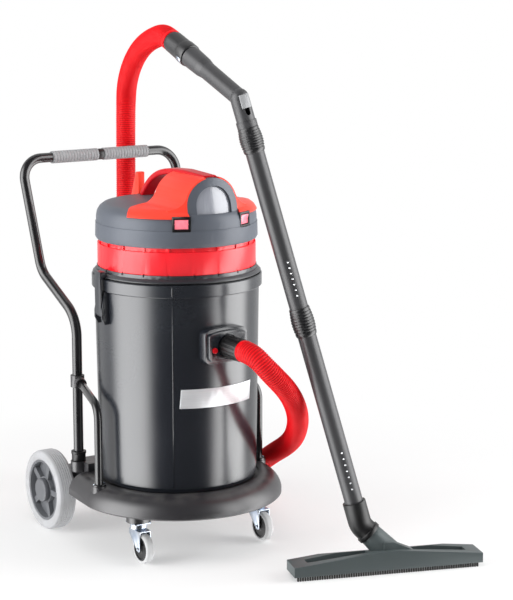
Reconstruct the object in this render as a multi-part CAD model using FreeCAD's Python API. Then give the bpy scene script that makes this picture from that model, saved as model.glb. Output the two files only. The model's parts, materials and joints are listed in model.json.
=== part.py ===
import FreeCAD, Part
import math
import os

# Wet and dry tank vacuum cleaner on a trolley, with its hose, wand and floor nozzle.
# Millimetres. The origin is on the floor under the tank's axis, +Z is up and the hose inlet faces -Y.

V = FreeCAD.Vector

# General clearances
part_gap = 0.3
running_gap = 0.05
cut_over = 1.0
pin_stop = 1.5

# Tank
tank_bottom_z = 171.0
tank_bottom_radius = 196.0
tank_flare = 7.0
tank_height = 486.0
tank_wall = 4.0
tank_foot_fillet = 14.0
rim_overhang = 7.0
rim_height = 31.0
rim_lip_width = 6.0
rim_edge = 2.0
tank_top_radius = tank_bottom_radius + tank_flare
rim_radius = tank_top_radius + rim_overhang
rim_bottom_z = tank_bottom_z + tank_height
rim_top_z = rim_bottom_z + rim_height

# Base moulding
base_reach = 64.0
base_lip_drop = 48.0
base_lip_width = 9.0
base_edge_height = 16.0
base_rise = 6.0
base_land = 10.0
base_wall = 10.0
rear_rim_width = 24.0
seat_gap = 8.0
flank_length = 118.0
flank_taper = 11.0
deck_inset = 68.0
deck_front_y = 120.0
deck_shelf_length = 68.0
deck_rise = 24.0
deck_drop = 52.0
deck_thickness = 26.0
axle_cheek_width = 40.0
axle_cheek_length = 90.0
axle_cheek_drop = 18.0
pad_margin = 3.0
base_radius = tank_bottom_radius + base_reach
base_lip_z = tank_bottom_z - base_lip_drop
base_top_z = tank_bottom_z + base_rise
seat_radius = tank_bottom_radius + seat_gap
deck_top_z = tank_bottom_z + deck_rise
deck_half_width = base_radius - deck_inset

# Rear wheels
wheel_radius = 102.0
wheel_width = 50.0
wheel_axle_y = 264.0
wheel_deck_gap = 10.0
wheel_hub_radius = 78.0
wheel_arch_gap = 7.0
axle_radius = 7.0
hub_rim_wall = 6.0
hub_web_thickness = 5.0
hub_dish = 9.0
hub_cap_radius = 30.0
hub_cap_height = 9.0
hub_boss_radius = 34.0
spoke_count = 5
spoke_width = 15.0
tread_grooves = 5
tread_depth = 1.6
tread_edge = 10.0
wheel_outer_x = deck_half_width + wheel_deck_gap + wheel_width

# Swivel casters
caster_radius = 37.5
caster_width = 24.0
caster_hub_radius = 30.0
caster_x = 172.0
caster_y = -100.0
caster_trail = 25.0
caster_turn_deg = 180.0
caster_plate_side = 50.0
caster_plate_thickness = 3.0
caster_plate_corner = 8.0
caster_wheel_gap = 4.0
caster_race_height = 15.0
caster_race_radius = 21.0
caster_leg_thickness = 2.5
caster_leg_gap = 1.5
caster_stem_radius = 8.0
caster_stem_length = 20.0
caster_bolt_radius = 4.0
caster_boss_radius = 30.0
caster_crown_z = 2 * caster_radius + caster_wheel_gap
caster_plate_top = caster_crown_z + caster_leg_thickness + caster_race_height + caster_plate_thickness

# Push handle
frame_tube_radius = 12.5
frame_tube_wall = 1.5
upright_inset = 3.0
upright_y = 165.0
upright_length = 368.0
knee_spread = 12.0
knee_back = 165.0
knee_rise = 96.0
corner_spread = 20.0
corner_back = 65.0
corner_rise = 281.0
crossbar_bend_radius = 52.0
knee_bend_radius = 60.0
upright_bend_radius = 85.0
grip_inner_x = 9.0
grip_length = 131.0
grip_wall = 3.5
grip_ribs = 16
grip_rib_depth = 1.2
spacer_wall = 1.8
socket_height = 26.0
socket_wall = 5.0
socket_depth = 16.0
socket_bead = 1.5
socket_bead_height = 7.0
upright_x = deck_half_width + upright_inset
upright_bend_z = deck_top_z + upright_length
knee_x = upright_x + knee_spread
knee_y = upright_y + knee_back
knee_z = upright_bend_z + knee_rise
crossbar_x = knee_x + corner_spread
crossbar_y = knee_y + corner_back
crossbar_z = knee_z + corner_rise
grip_outer_x = grip_inner_x + grip_length

# Side stays
stay_radius = 10.0
stay_wall = 1.5
stay_inset = 28.0
stay_y = -12.0
stay_height = 207.0
stay_drop = 28.0
stay_bend_radius = 45.0
stay_foot_radius = 17.0
stay_foot_thickness = 4.0
stay_screw_offset = 13.4
stay_screw_radius = 2.0
stay_screw_head = 2.0
stay_tuck = 3.0
clamp_height = 30.0
clamp_wall = 5.0
clamp_socket_length = 16.0
stay_x = base_radius - stay_inset
stay_top_z = deck_top_z + stay_height
stay_bend_z = stay_top_z - stay_drop
stay_boss_top_z = base_top_z

# Clasps
clasp_pin_drop = 55.0
clasp_pin_stand = 3.5
clasp_pin_radius = 3.0
clasp_knuckle_wall = 3.5
clasp_width = 28.0
clasp_thickness = 5.0
clasp_face_stand = 8.0
clasp_top_rise = 19.0
clasp_nose_inset = 6.5
clasp_cheek_thickness = 4.0
clasp_cheek_drop = 24.0
clasp_cheek_stand = 8.0
clasp_backing_depth = 8.5
clasp_slope_gap = 0.7
clasp_pin_z = rim_bottom_z - clasp_pin_drop
clasp_pin_reach = rim_radius + clasp_pin_stand
clasp_face_reach = rim_radius + clasp_face_stand
clasp_nose_reach = rim_radius - clasp_nose_inset
clasp_top_z = rim_top_z + clasp_top_rise
clasp_cheek_bottom_z = clasp_pin_z - clasp_cheek_drop

# Hose inlet
inlet_height = 366.0
inlet_turn_deg = 2.0
hose_radius = 26.5
spigot_radius = 24.0
spigot_wall = 3.0
bezel_width = 120.0
bezel_height = 80.0
bezel_stand = 25.0
bezel_step = 7.0
bezel_step_depth = 9.0
bezel_corner = 14.0
bezel_crown = 6.0
button_x = -38.5
button_drop = 6.0
button_radius = 7.0
button_travel = 3.0
button_stand = 4.0
button_length = 12.0
cuff_length = 66.0
cuff_ribs = 18
cuff_rib_width = 4.0
cuff_rib_height = 1.3
inlet_z = tank_bottom_z + inlet_height
bezel_face_reach = tank_top_radius + bezel_stand
button_z = inlet_z - button_drop
cuff_front_reach = bezel_face_reach + cuff_length
cuff_back_reach = bezel_face_reach - button_stand + 1.0 + part_gap

# Label plate, left bare
label_drop = 104.0
label_height = 47.0
label_half_width = 100.0
label_slant = -3.0
label_thickness = 1.2
label_top_z = inlet_z - label_drop
label_bottom_z = label_top_z - label_height

# Head, stacked on the rim from below
gasket_height = 3.4
gasket_inset = 7.0
gasket_width = 6.0
head_flange_inset = 2.5
head_flange_height = 8.0
head_ring_inset = 13.0
head_ring_height = 17.0
head_ring_wall = 13.0
head_ledge_width = 8.0
head_ledge_thickness = 5.0
notch_count = 20
notch_width = 4.0
notch_depth = 3.0
band_inset = 15.0
band_height = 56.0
band_groove_height = 10.0
band_groove_depth = 4.5
band_wall = 6.0
skirt_inset = 10.0
skirt_tuck = 3.5
skirt_height = 41.0
skirt_step = 1.6
dome_side_height = 14.0
dome_side_lean = 1.2
dome_round_height = 32.0
dome_round_width = 29.0
dome_wall = 4.0
head_bottom_z = rim_top_z + gasket_height + 2 * part_gap
head_flange_radius = rim_radius - head_flange_inset
head_ring_radius = rim_radius - head_ring_inset
head_ring_inner_radius = head_ring_radius - head_ring_wall
band_bottom_z = head_bottom_z + head_ring_height
band_radius = rim_radius - band_inset
skirt_bottom_z = band_bottom_z + band_height + band_groove_height
skirt_radius = rim_radius - skirt_inset
skirt_top_z = skirt_bottom_z + skirt_height
dome_shoulder_z = skirt_top_z + dome_side_height
dome_shoulder_radius = skirt_radius - skirt_step - dome_side_lean
dome_top_z = dome_shoulder_z + dome_round_height
dome_top_radius = dome_shoulder_radius - dome_round_width

# Hood and its panel
hood_half_width = 69.0
hood_rise = 6.5
hood_rear_y = -20.0
hood_face_inset = 3.0
hood_lean = 0.19
hood_wall = 4.0
panel_half_width = 48.0
panel_lift = 2.0
panel_drop = 51.0
panel_thickness = 3.0
panel_recess = 6.0
hood_centre_z = dome_top_z + hood_rise
hood_crown_z = hood_centre_z + hood_half_width
hood_face_reach = skirt_radius - hood_face_inset
panel_centre_z = hood_centre_z + panel_lift
panel_bottom_z = panel_centre_z - panel_drop

# Covers
cover_wall = 4.0
cover_drop = 17.0
cover_flare_radius = 42.0
cover_toe_drop = 1.0
cover_sweep_x = 49.0
cover_sweep_y = -278.0
cover_sweep_radius = 306.0
saddle_sink = 6.0
saddle_slope_deg = 23.0
cover_screw_x = -118.0
cover_screw_y = -38.0
cover_screw_radius = 2.0
cover_screw_length = 14.0
cover_edge_z = dome_top_z - cover_drop

# Carrying handle, which runs on as the spine between the covers
spine_half_width = 18.0
handle_thickness = 15.0
handle_foot_inset = 20.0
handle_foot_sink = 14.0
handle_edge_radius = 5.0
handle_front_y = -160.0
handle_peak_lift = 1.5
handle_mid_y = 30.0
handle_fall_y = 122.0
handle_fall = 30.0

# Switches
switch_turn_deg = 26.8
switch_drop = 29.5
switch_width = 44.0
switch_height = 36.0
switch_depth = 14.0
rocker_margin = 6.0
rocker_gap = 1.2
rocker_tilt_deg = 6.0
rocker_pin_radius = 1.5
rocker_pin_depth = 5.0
switch_z = dome_top_z - switch_drop
switch_face_reach = hood_face_reach
rocker_width = switch_width - 2 * rocker_margin
rocker_height = switch_height - 2 * rocker_margin

# Cable hook and gland
hook_width = 18.0
hook_depth = 14.0
hook_rise = 54.0
hook_foot_height = 12.0
hook_foot_drop = 42.0
hook_front_inset = 27.0
hook_foot_stand = 12.0
gland_radius = 9.0
gland_bore_radius = 4.2
gland_turn_deg = 158.0
gland_lift = 25.0
hook_top_z = dome_top_z + hook_rise
hook_foot_z = dome_top_z - hook_foot_drop
gland_z = skirt_bottom_z + gland_lift

# Blowers and float valve inside the head
motor_x = 72.0
motor_y = 25.0
fan_radius = 66.0
fan_height = 38.0
motor_radius = 44.0
motor_height = 72.0
motor_cap_radius = 16.0
motor_cap_height = 14.0
motor_plate_thickness = 7.0
suction_hole_radius = 22.0
cage_radius = 62.0
cage_wall = 2.5
cage_depth = 167.0
cage_slots = 10
cage_slot_width = 14.0
cage_slot_height = 70.0
cage_slot_lift = 40.0
cage_flange = 16.0
ball_radius = 27.0
cage_top_z = head_bottom_z + head_ledge_thickness
cage_bottom_z = cage_top_z - cage_depth

# Wand and handle. The wand's straight tubes lean from the nozzle to the bend of the handle.
wand_foot_x = 245.8
wand_foot_y = -439.7
wand_foot_z = 120.6
wand_bend_x = 4.5
wand_bend_y = -285.3
wand_bend_z = 1135.6
hose_end_x = -21.5
hose_end_y = -21.9
hose_end_z = 1255.1
wand_radius = 22.4
wand_tube_wall = 1.6
sleeve_end_radius = 25.0
sleeve_radius = 28.0
sleeve_ribs = 8
sleeve_rib_depth = 1.2
lower_tube_start = 48.0
tube_plug_depth = 30.0
lower_sleeve_start = 472.0
lower_sleeve_end = 541.0
upper_sleeve_start = 924.0
upper_sleeve_end = 984.0
collar_radius = 24.5
collar_length = 15.0
handle_neck_radius = 20.5
handle_flare_radius = 26.3
handle_tube_wall = 2.5
flare_start = 135.0
flare_step = 18.0
handle_cuff_length = 83.0
handle_cuff_radius = 28.6
handle_cuff_plug = 30.0
slider_length = 32.0
slider_width = 24.0
slider_thickness = 3.0
slider_over = 7.0
slider_travel = 12.0
bleed_slot_width = 12.0
wand_foot = V(wand_foot_x, wand_foot_y, wand_foot_z)
wand_bend = V(wand_bend_x, wand_bend_y, wand_bend_z)
hose_end = V(hose_end_x, hose_end_y, hose_end_z)

# Floor nozzle
nozzle_x = 291.0
nozzle_y = -487.0
nozzle_turn_deg = -17.8
nozzle_length = 474.0
nozzle_depth = 70.0
nozzle_end_height = 24.0
nozzle_ridge_z = 57.0
nozzle_ridge_half_width = 28.0
nozzle_back_fall = 14.0
nozzle_lift = 11.0
nozzle_wall = 10.0
recess_inner_x = 44.0
recess_outer_x = 200.0
recess_floor_z = 31.0
mouth_height = 14.0
strip_inset = 4.0
strip_thickness = 5.0
strip_margin = 8.0
strip_tuck = 8.5
neck_radius = 28.0
neck_foot_radius = 33.0
bell_radius = 31.0
bell_length = 10.0
neck_spigot_radius = 21.4
neck_plug = 10.0
neck_direction = V(-0.58, 0.42, 0.70)
elbow_run = 12.0
ring_run = 32.0
elbow_bend_radius = 40.0
gusset_length = 66.0
gusset_thickness = 26.0
gusset_top_z = 74.0

# Generous lengths for cutting tools, longer than anything they cut
far = 2 * base_radius
deep_in = tank_bottom_radius - 50.0


def polygon_face(points):
    """Face from corner points given in order."""
    corners = [V(*p) for p in points]
    return Part.Face(Part.makePolygon(corners + [corners[0]]))


def lathe(profile):
    """Solid turned about the Z axis from (radius, height) corners."""
    face = polygon_face([(r, 0, z) for r, z in profile])
    return face.revolve(V(0, 0, 0), V(0, 0, 1), 360)


def block(x0, x1, y0, y1, z0, z1):
    """Box between two corners."""
    return Part.makeBox(x1 - x0, y1 - y0, z1 - z0, V(x0, y0, z0))


def rod(start, end, radius):
    """Round bar between two points."""
    return Part.makeCylinder(radius, (end - start).Length, start, end - start)


def tube(start, end, outer, inner):
    """Round tube between two points."""
    return rod(start, end, outer).cut(rod(start, end, inner))


def upright_rod(x, y, z0, z1, radius):
    """Round bar that stands along Z."""
    return rod(V(x, y, z0), V(x, y, z1), radius)


def ring(outer, inner, z0, z1):
    """Flat ring about the Z axis."""
    return tube(V(0, 0, z0), V(0, 0, z1), outer, inner)


def mirrored(shape):
    """The same piece on the other side of the machine."""
    return shape.mirror(V(0, 0, 0), V(1, 0, 0))


def both_sides(shape):
    """A piece and its twin on the other side, as a list."""
    return [shape, mirrored(shape)]


def fuse_all(shapes):
    """One solid from pieces that meet."""
    result = shapes[0].fuse(shapes[1:]) if len(shapes) > 1 else shapes[0]
    return result.removeSplitter()


def largest(shape):
    """The biggest solid of a shape, without the crumbs of a cut."""
    return max(shape.Solids, key=lambda solid: solid.Volume)


def turned(shape, degrees, centre=V(0, 0, 0), axis=V(0, 0, 1)):
    """A copy turned about an axis."""
    copy = shape.copy()
    copy.rotate(centre, axis, degrees)
    return copy


def stood_along(shape, start, direction):
    """A piece made along +Z, moved so that its Z axis runs from start along direction."""
    copy = shape.copy()
    turn = FreeCAD.Rotation(V(0, 0, 1), direction)
    copy.Placement = FreeCAD.Placement(start, turn).multiply(copy.Placement)
    return copy


def upright_edges(shape, axis):
    """Edges of a shape that run along an axis."""
    return [edge for edge in shape.Edges if abs(edge.tangentAt(0).dot(axis)) > 0.9]


def write(name, shape):
    """Write one named piece."""
    solids = shape if isinstance(shape, list) else [shape]
    parts = [solid for piece in solids for solid in piece.Solids]
    out = parts[0] if len(parts) == 1 else Part.makeCompound(parts)
    out.exportStep("parts/" + name + ".step")


def rounded_wire(points, radii):
    """Straight runs joined by tangent arcs, one radius for each inner point."""
    edges = []
    start = points[0]
    for before, corner, after, radius in zip(points, points[1:], points[2:], radii):
        towards = (before - corner).normalize()
        away = (after - corner).normalize()
        half_turn = (math.pi - towards.getAngle(away)) / 2
        reach = radius * math.tan(half_turn)
        arc_start = corner + towards * reach
        arc_end = corner + away * reach
        inward = (towards + away).normalize()
        middle = corner + inward * (radius / math.cos(half_turn) - radius)
        edges.append(Part.LineSegment(start, arc_start).toShape())
        edges.append(Part.Arc(arc_start, middle, arc_end).toShape())
        start = arc_end
    edges.append(Part.LineSegment(start, points[-1]).toShape())
    return Part.Wire(edges)


def sweep(wire, radius):
    """Round bar along a wire."""
    first = wire.Edges[0]
    start = first.valueAt(first.FirstParameter)
    direction = first.tangentAt(first.FirstParameter)
    circle = Part.Wire(Part.makeCircle(radius, start, direction))
    return wire.makePipeShell([circle], True, True)


def hollow_sweep(wire, radius, wall):
    """Tube along a wire, open at both ends."""
    return sweep(wire, radius).cut(sweep(wire, radius - wall))


# Trolley

def base_section():
    """Cross-section of the round bumper, from the tank's recess to the outer edge."""
    seat_z = tank_bottom_z - part_gap
    under_z = seat_z - base_wall
    edge_z = base_lip_z + base_edge_height
    shoulder = V(base_radius - 14, 0, base_top_z - 13)
    hollow = V(base_radius - 24, 0, base_top_z - 27)
    edges = [
        Part.LineSegment(V(seat_radius, 0, under_z), V(seat_radius, 0, base_top_z)),
        Part.LineSegment(V(seat_radius, 0, base_top_z), V(seat_radius + base_land, 0, base_top_z)),
        Part.Arc(V(seat_radius + base_land, 0, base_top_z), shoulder, V(base_radius, 0, edge_z)),
        Part.LineSegment(V(base_radius, 0, edge_z), V(base_radius, 0, base_lip_z + 4)),
        Part.LineSegment(V(base_radius, 0, base_lip_z + 4), V(base_radius - 4, 0, base_lip_z)),
        Part.LineSegment(V(base_radius - 4, 0, base_lip_z), V(base_radius - base_lip_width, 0, base_lip_z)),
        Part.Arc(V(base_radius - base_lip_width, 0, base_lip_z), hollow, V(seat_radius, 0, under_z)),
    ]
    return Part.Face(Part.Wire([edge.toShape() for edge in edges]))


def deck_outline():
    """Side outline of the rear deck: a shelf for the push handle that falls to the axle."""
    rear_y = wheel_axle_y + axle_cheek_length / 2 + 10
    shelf_end = deck_front_y + deck_shelf_length
    low_z = deck_top_z - deck_drop
    return [(deck_front_y, deck_top_z - deck_thickness), (deck_front_y, deck_top_z), (shelf_end, deck_top_z),
            (shelf_end + deck_drop * 0.7, low_z), (rear_y, low_z), (rear_y, low_z - deck_thickness / 2),
            (shelf_end, low_z - deck_thickness / 2)]


def make_base():
    """Round bumper dish for the tank, with straight flanks and a rear deck for wheels and push handle."""
    seat_z = tank_bottom_z - part_gap
    section = base_section()
    shape = section.revolve(V(0, 0, 0), V(0, 0, 1), -180)
    plate = upright_rod(0, 0, seat_z - base_wall, seat_z, seat_radius + cut_over)
    rear_rim = ring(seat_radius + rear_rim_width, seat_radius - cut_over, seat_z - base_wall, base_top_z - 2)
    rear_rim = rear_rim.common(block(-far, far, -cut_over, far, 0, far))
    flank = section.extrude(V(-flank_taper, flank_length, 0))
    deck = polygon_face([(-deck_half_width, y, z) for y, z in deck_outline()])
    deck = deck.extrude(V(2 * deck_half_width, 0, 0))
    additions = [plate, rear_rim, flank, mirrored(flank), deck]
    for side in (-1, 1):
        cheek_x = side * (deck_half_width - axle_cheek_width / 2)
        additions.append(block(cheek_x - axle_cheek_width / 2, cheek_x + axle_cheek_width / 2,
                               wheel_axle_y - axle_cheek_length / 2, wheel_axle_y + axle_cheek_length / 2,
                               wheel_radius - axle_cheek_drop, deck_top_z - deck_drop - cut_over))
        additions.append(upright_rod(side * upright_x, upright_y, deck_top_z - deck_thickness, deck_top_z,
                                     frame_tube_radius + socket_wall + pad_margin))
        additions.append(upright_rod(side * stay_x, stay_y, base_top_z - 30, stay_boss_top_z,
                                     stay_foot_radius + cut_over))
        additions.append(caster_boss(side))
    shape = shape.fuse(additions)
    cuts = [upright_rod(0, 0, seat_z, deck_top_z + far, seat_radius),
            rod(V(-far, wheel_axle_y, wheel_radius), V(far, wheel_axle_y, wheel_radius),
                axle_radius + running_gap)]
    for side in (-1, 1):
        inner = side * (deck_half_width + wheel_deck_gap - wheel_arch_gap)
        cuts.append(rod(V(inner, wheel_axle_y, wheel_radius), V(side * far, wheel_axle_y, wheel_radius),
                        wheel_radius + wheel_arch_gap))
        cuts.append(upright_rod(side * caster_x, caster_y, 0, caster_plate_top + caster_stem_length + 8,
                                caster_stem_radius + cut_over))
        cuts.append(upright_rod(side * upright_x, upright_y, deck_top_z - socket_depth, deck_top_z + cut_over,
                                frame_tube_radius + part_gap))
    return largest(shape.cut(cuts))


def caster_boss(side):
    """Solid block under the dish that a caster's plate is screwed to."""
    top = tank_bottom_z - part_gap - base_wall + cut_over
    return upright_rod(side * caster_x, caster_y, caster_plate_top + part_gap, top, caster_boss_radius)


def make_axle():
    """Steel axle right through the deck and both wheels."""
    end = wheel_outer_x + hub_cap_height - 6 - part_gap
    return rod(V(-end, wheel_axle_y, wheel_radius), V(end, wheel_axle_y, wheel_radius), axle_radius)


def make_axle_caps():
    """Round caps that hold the rear wheels on the axle."""
    x0 = wheel_outer_x - hub_dish + 1 + part_gap
    x1 = wheel_outer_x + hub_cap_height - 4
    centre = V(0, wheel_axle_y, wheel_radius)
    body = rod(centre + V(x0, 0, 0), centre + V(x1, 0, 0), hub_cap_radius)
    rims = [edge for edge in body.Edges if abs(edge.CenterOfMass.x - x1) < 0.1]
    body = body.makeFillet(4, rims)
    bore = rod(centre + V(x0 - 1, 0, 0), centre + V(x1 - 2, 0, 0), axle_radius + running_gap)
    return both_sides(body.cut(bore))


def make_wheel_hub():
    """Five-spoked hub of the right rear wheel, closed by a web behind the spokes."""
    centre = V(0, wheel_axle_y, wheel_radius)
    inner_x = wheel_outer_x - wheel_width + 3
    outer_x = wheel_outer_x - 4
    web_x = wheel_outer_x - hub_dish - 12
    face_x = wheel_outer_x - hub_dish
    rim = tube(centre + V(inner_x, 0, 0), centre + V(outer_x, 0, 0), wheel_hub_radius,
               wheel_hub_radius - hub_rim_wall)
    web = rod(centre + V(web_x - hub_web_thickness, 0, 0), centre + V(web_x, 0, 0),
              wheel_hub_radius - cut_over)
    boss = rod(centre + V(inner_x - 3, 0, 0), centre + V(face_x, 0, 0), hub_boss_radius)
    hub = rim.fuse([web, boss])
    spoke_end_z = wheel_radius + wheel_hub_radius - hub_rim_wall + cut_over
    for i in range(spoke_count):
        spoke = block(web_x - cut_over, face_x, wheel_axle_y - spoke_width / 2,
                      wheel_axle_y + spoke_width / 2, wheel_radius + hub_boss_radius - 4, spoke_end_z)
        hub = hub.fuse(turned(spoke, 360 / spoke_count * (i + 0.25), centre, V(1, 0, 0)))
    bore = rod(centre, centre + V(far, 0, 0), axle_radius + running_gap)
    return hub.cut(bore)


def make_wheel_tyre():
    """Grooved tyre of the right rear wheel."""
    half = wheel_width / 2
    r = wheel_radius
    pitch = (wheel_width - 2 * tread_edge) / tread_grooves
    side = [(wheel_hub_radius, half - 3), (wheel_hub_radius + 8, half), (r - 9, half), (r - 2.5, half - 3.5),
            (r, half - tread_edge)]
    profile = [(radius, -z) for radius, z in side]
    for i in range(tread_grooves):
        z = pitch * (i + 0.5) - half + tread_edge
        profile += [(r, z - 1), (r - tread_depth, z), (r, z + 1)]
    profile += side[::-1]
    return stood_along(lathe(profile), V(wheel_outer_x - half, wheel_axle_y, wheel_radius), V(1, 0, 0))


def caster_frame(x):
    """Rolling-axis direction and wheel centre of the caster at x."""
    turn = math.radians(caster_turn_deg)
    back = V(math.sin(turn), math.cos(turn), 0)
    return V(math.cos(turn), -math.sin(turn), 0), V(x, caster_y, caster_radius) + back * caster_trail


def make_caster_plates():
    """Square top plates of both casters."""
    plates = []
    half = caster_plate_side / 2
    z0 = caster_plate_top - caster_plate_thickness
    for x in (-caster_x, caster_x):
        plate = block(x - half, x + half, caster_y - half, caster_y + half, z0, caster_plate_top)
        plate = plate.makeFillet(caster_plate_corner, upright_edges(plate, V(0, 0, 1)))
        hole = upright_rod(x, caster_y, z0 - cut_over, caster_plate_top + cut_over,
                           caster_stem_radius + running_gap)
        plates.append(plate.cut(hole))
    return plates


def make_caster_fork(x):
    """Bent steel fork with its bearing race and stem, and the bolt that carries the wheel."""
    across, centre = caster_frame(x)
    race_top = caster_plate_top - caster_plate_thickness - part_gap
    crown_top = caster_crown_z + caster_leg_thickness
    inner = caster_width / 2 + caster_leg_gap
    outer = inner + caster_leg_thickness
    race = lathe([(0, crown_top - cut_over), (caster_race_radius - 3, crown_top - cut_over),
                  (caster_race_radius, crown_top + 3), (caster_race_radius, race_top), (0, race_top)])
    stem = upright_rod(0, 0, race_top - cut_over, caster_plate_top + caster_stem_length, caster_stem_radius)
    front = caster_trail + 8
    crown = block(-outer, outer, -18, front, caster_crown_z, crown_top)
    legs = []
    for x0 in (-outer, inner):
        outline = polygon_face([(x0, -18, crown_top), (x0, front, crown_top),
                                (x0, front, caster_radius - 4), (x0, caster_trail + 2, caster_radius - 8),
                                (x0, caster_trail - 6, caster_radius - 6), (x0, -18, caster_crown_z - 10)])
        legs.append(outline.extrude(V(caster_leg_thickness, 0, 0)))
    fork = fuse_all([race, stem, crown] + legs)
    fork = turned(fork, -caster_turn_deg).translated(V(x, caster_y, 0))
    fork = fork.cut(rod(centre - across * far, centre + across * far, caster_bolt_radius))
    reach = outer + 3
    return [fork, rod(centre - across * reach, centre + across * reach, caster_bolt_radius)]


def make_caster_hub(x):
    """Black dished hub of one caster wheel."""
    across, centre = caster_frame(x)
    half = caster_width / 2 - 1
    dish_inner = 12
    profile = [(caster_bolt_radius + running_gap, -half), (dish_inner, -half), (dish_inner, 3 - half),
               (caster_hub_radius - 4, 3 - half), (caster_hub_radius - 4, -half), (caster_hub_radius, -half)]
    profile += [(radius, -z) for radius, z in profile[::-1]]
    return stood_along(lathe(profile), centre, across)


def make_caster_tyre(x):
    """Pale tyre of one caster wheel."""
    across, centre = caster_frame(x)
    half = caster_width / 2
    r = caster_radius
    profile = [(caster_hub_radius, 1 - half), (r - 4, 1 - half), (r, 5.5 - half)]
    profile += [(radius, -z) for radius, z in profile[::-1]]
    return stood_along(lathe(profile), centre, across)


def frame_points():
    """Corner points of the push handle's tube, from the left foot over the crossbar to the right foot."""
    foot_z = deck_top_z - socket_depth + part_gap
    left = [V(-upright_x, upright_y, foot_z), V(-upright_x, upright_y, upright_bend_z),
            V(-knee_x, knee_y, knee_z), V(-crossbar_x, crossbar_y, crossbar_z)]
    right = [V(-p.x, p.y, p.z) for p in reversed(left)]
    return left + right


def make_push_handle():
    """Bent steel tube of the push handle."""
    radii = [upright_bend_radius, knee_bend_radius, crossbar_bend_radius]
    wire = rounded_wire(frame_points(), radii + radii[::-1])
    return hollow_sweep(wire, frame_tube_radius, frame_tube_wall)


def make_grips():
    """Two ribbed grips on the crossbar."""
    bore = frame_tube_radius + running_gap
    crest = frame_tube_radius + grip_wall
    valley = crest - grip_rib_depth
    pitch = grip_length / grip_ribs
    profile = [(bore, grip_inner_x), (crest, grip_inner_x)]
    for i in range(grip_ribs):
        z = grip_inner_x + pitch * (i + 1)
        profile += [(crest, z - 0.28 * pitch), (valley, z - 0.2 * pitch),
                    (valley, z - 0.08 * pitch), (crest, z)]
    profile += [(bore, grip_outer_x)]
    grip = stood_along(lathe(profile), V(0, crossbar_y, crossbar_z), V(1, 0, 0))
    return both_sides(grip)


def make_grip_spacer():
    """Dark collar between the grips."""
    half = grip_inner_x - part_gap
    return tube(V(-half, crossbar_y, crossbar_z), V(half, crossbar_y, crossbar_z),
                frame_tube_radius + spacer_wall, frame_tube_radius + running_gap)


def make_sockets():
    """Black collars where the uprights enter the deck."""
    bore = frame_tube_radius + running_gap
    wall = frame_tube_radius + socket_wall
    bead_z = socket_height - socket_bead_height
    collar = lathe([(bore, 0), (wall, 0), (wall, bead_z), (wall + socket_bead, bead_z),
                    (wall + socket_bead, socket_height), (bore, socket_height)])
    return both_sides(collar.translated(V(-upright_x, upright_y, deck_top_z)))


def stay_start():
    """Point inside the clamp where the left stay begins."""
    return V(-(upright_x + 2), upright_y - frame_tube_radius - part_gap - stay_tuck, stay_top_z)


def make_stay():
    """Bent brace from the left upright to the side of the base."""
    bend = V(-stay_x, stay_y, stay_bend_z)
    foot = V(-stay_x, stay_y, stay_boss_top_z)
    top = foot + V(0, 0, stay_foot_thickness)
    pipe = hollow_sweep(rounded_wire([stay_start(), bend, top], [stay_bend_radius]), stay_radius, stay_wall)
    flange = rod(foot, top, stay_foot_radius)
    for turn in (0, 180):
        low = foot + V(stay_screw_offset, 0, -cut_over)
        high = top + V(stay_screw_offset, 0, cut_over)
        flange = flange.cut(turned(rod(low, high, stay_screw_radius + running_gap), turn, foot))
    return fuse_all([pipe, flange])


def make_stay_screws():
    """Screws through the feet of the stays."""
    screws = []
    for x in (-stay_x, stay_x):
        for dx in (-stay_screw_offset, stay_screw_offset):
            top = V(x + dx, stay_y, stay_boss_top_z + stay_foot_thickness)
            head = rod(top, top + V(0, 0, stay_screw_head), 1.5 * stay_screw_radius)
            screws.append(head.fuse(rod(top - V(0, 0, stay_foot_thickness), top, stay_screw_radius)))
    return screws


def make_stay_clamps():
    """Tee clamps that hold the tops of the stays to the uprights."""
    base = V(-upright_x, upright_y, stay_top_z - clamp_height / 2)
    sleeve = rod(base, base + V(0, 0, clamp_height), frame_tube_radius + clamp_wall)
    start = stay_start()
    direction = (V(-stay_x, stay_y, stay_bend_z) - start).normalize()
    socket = rod(start, start + direction * clamp_socket_length, stay_radius + 4)
    clamp = sleeve.fuse(socket)
    clamp = clamp.cut([rod(base - V(0, 0, 1), base + V(0, 0, clamp_height + 1),
                           frame_tube_radius + running_gap),
                       rod(start - direction * 2, start + direction * far, stay_radius + running_gap)])
    return both_sides(largest(clamp))


# Tank

def make_tank():
    """Open blow-moulded tank with a stout rim."""
    foot_z = tank_bottom_z + tank_foot_fillet
    inner_top = tank_top_radius - tank_wall
    outer = [(0, tank_bottom_z), (tank_bottom_radius - tank_foot_fillet, tank_bottom_z),
             (tank_bottom_radius - 4, tank_bottom_z + 4), (tank_bottom_radius, foot_z),
             (tank_top_radius, rim_bottom_z), (rim_radius - rim_edge, rim_bottom_z),
             (rim_radius, rim_bottom_z + rim_edge), (rim_radius, rim_top_z - rim_edge),
             (rim_radius - rim_edge, rim_top_z)]
    inner = [(inner_top - rim_lip_width, rim_top_z),
             (inner_top - rim_lip_width, rim_bottom_z + 2 * rim_lip_width),
             (inner_top, rim_bottom_z), (tank_bottom_radius - tank_wall, foot_z),
             (tank_bottom_radius - tank_foot_fillet, tank_bottom_z + tank_wall),
             (0, tank_bottom_z + tank_wall)]
    shape = lathe(outer + inner)
    hole = rod(V(0, -deep_in, inlet_z), V(0, -far, inlet_z), spigot_radius + running_gap)
    return shape.cut(turned(hole, inlet_turn_deg))


def tank_outer_radius(z):
    """Outer radius of the tapered wall at a height."""
    share = (z - tank_bottom_z - tank_foot_fillet) / (tank_height - tank_foot_fillet)
    return tank_bottom_radius + tank_flare * share


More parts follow.
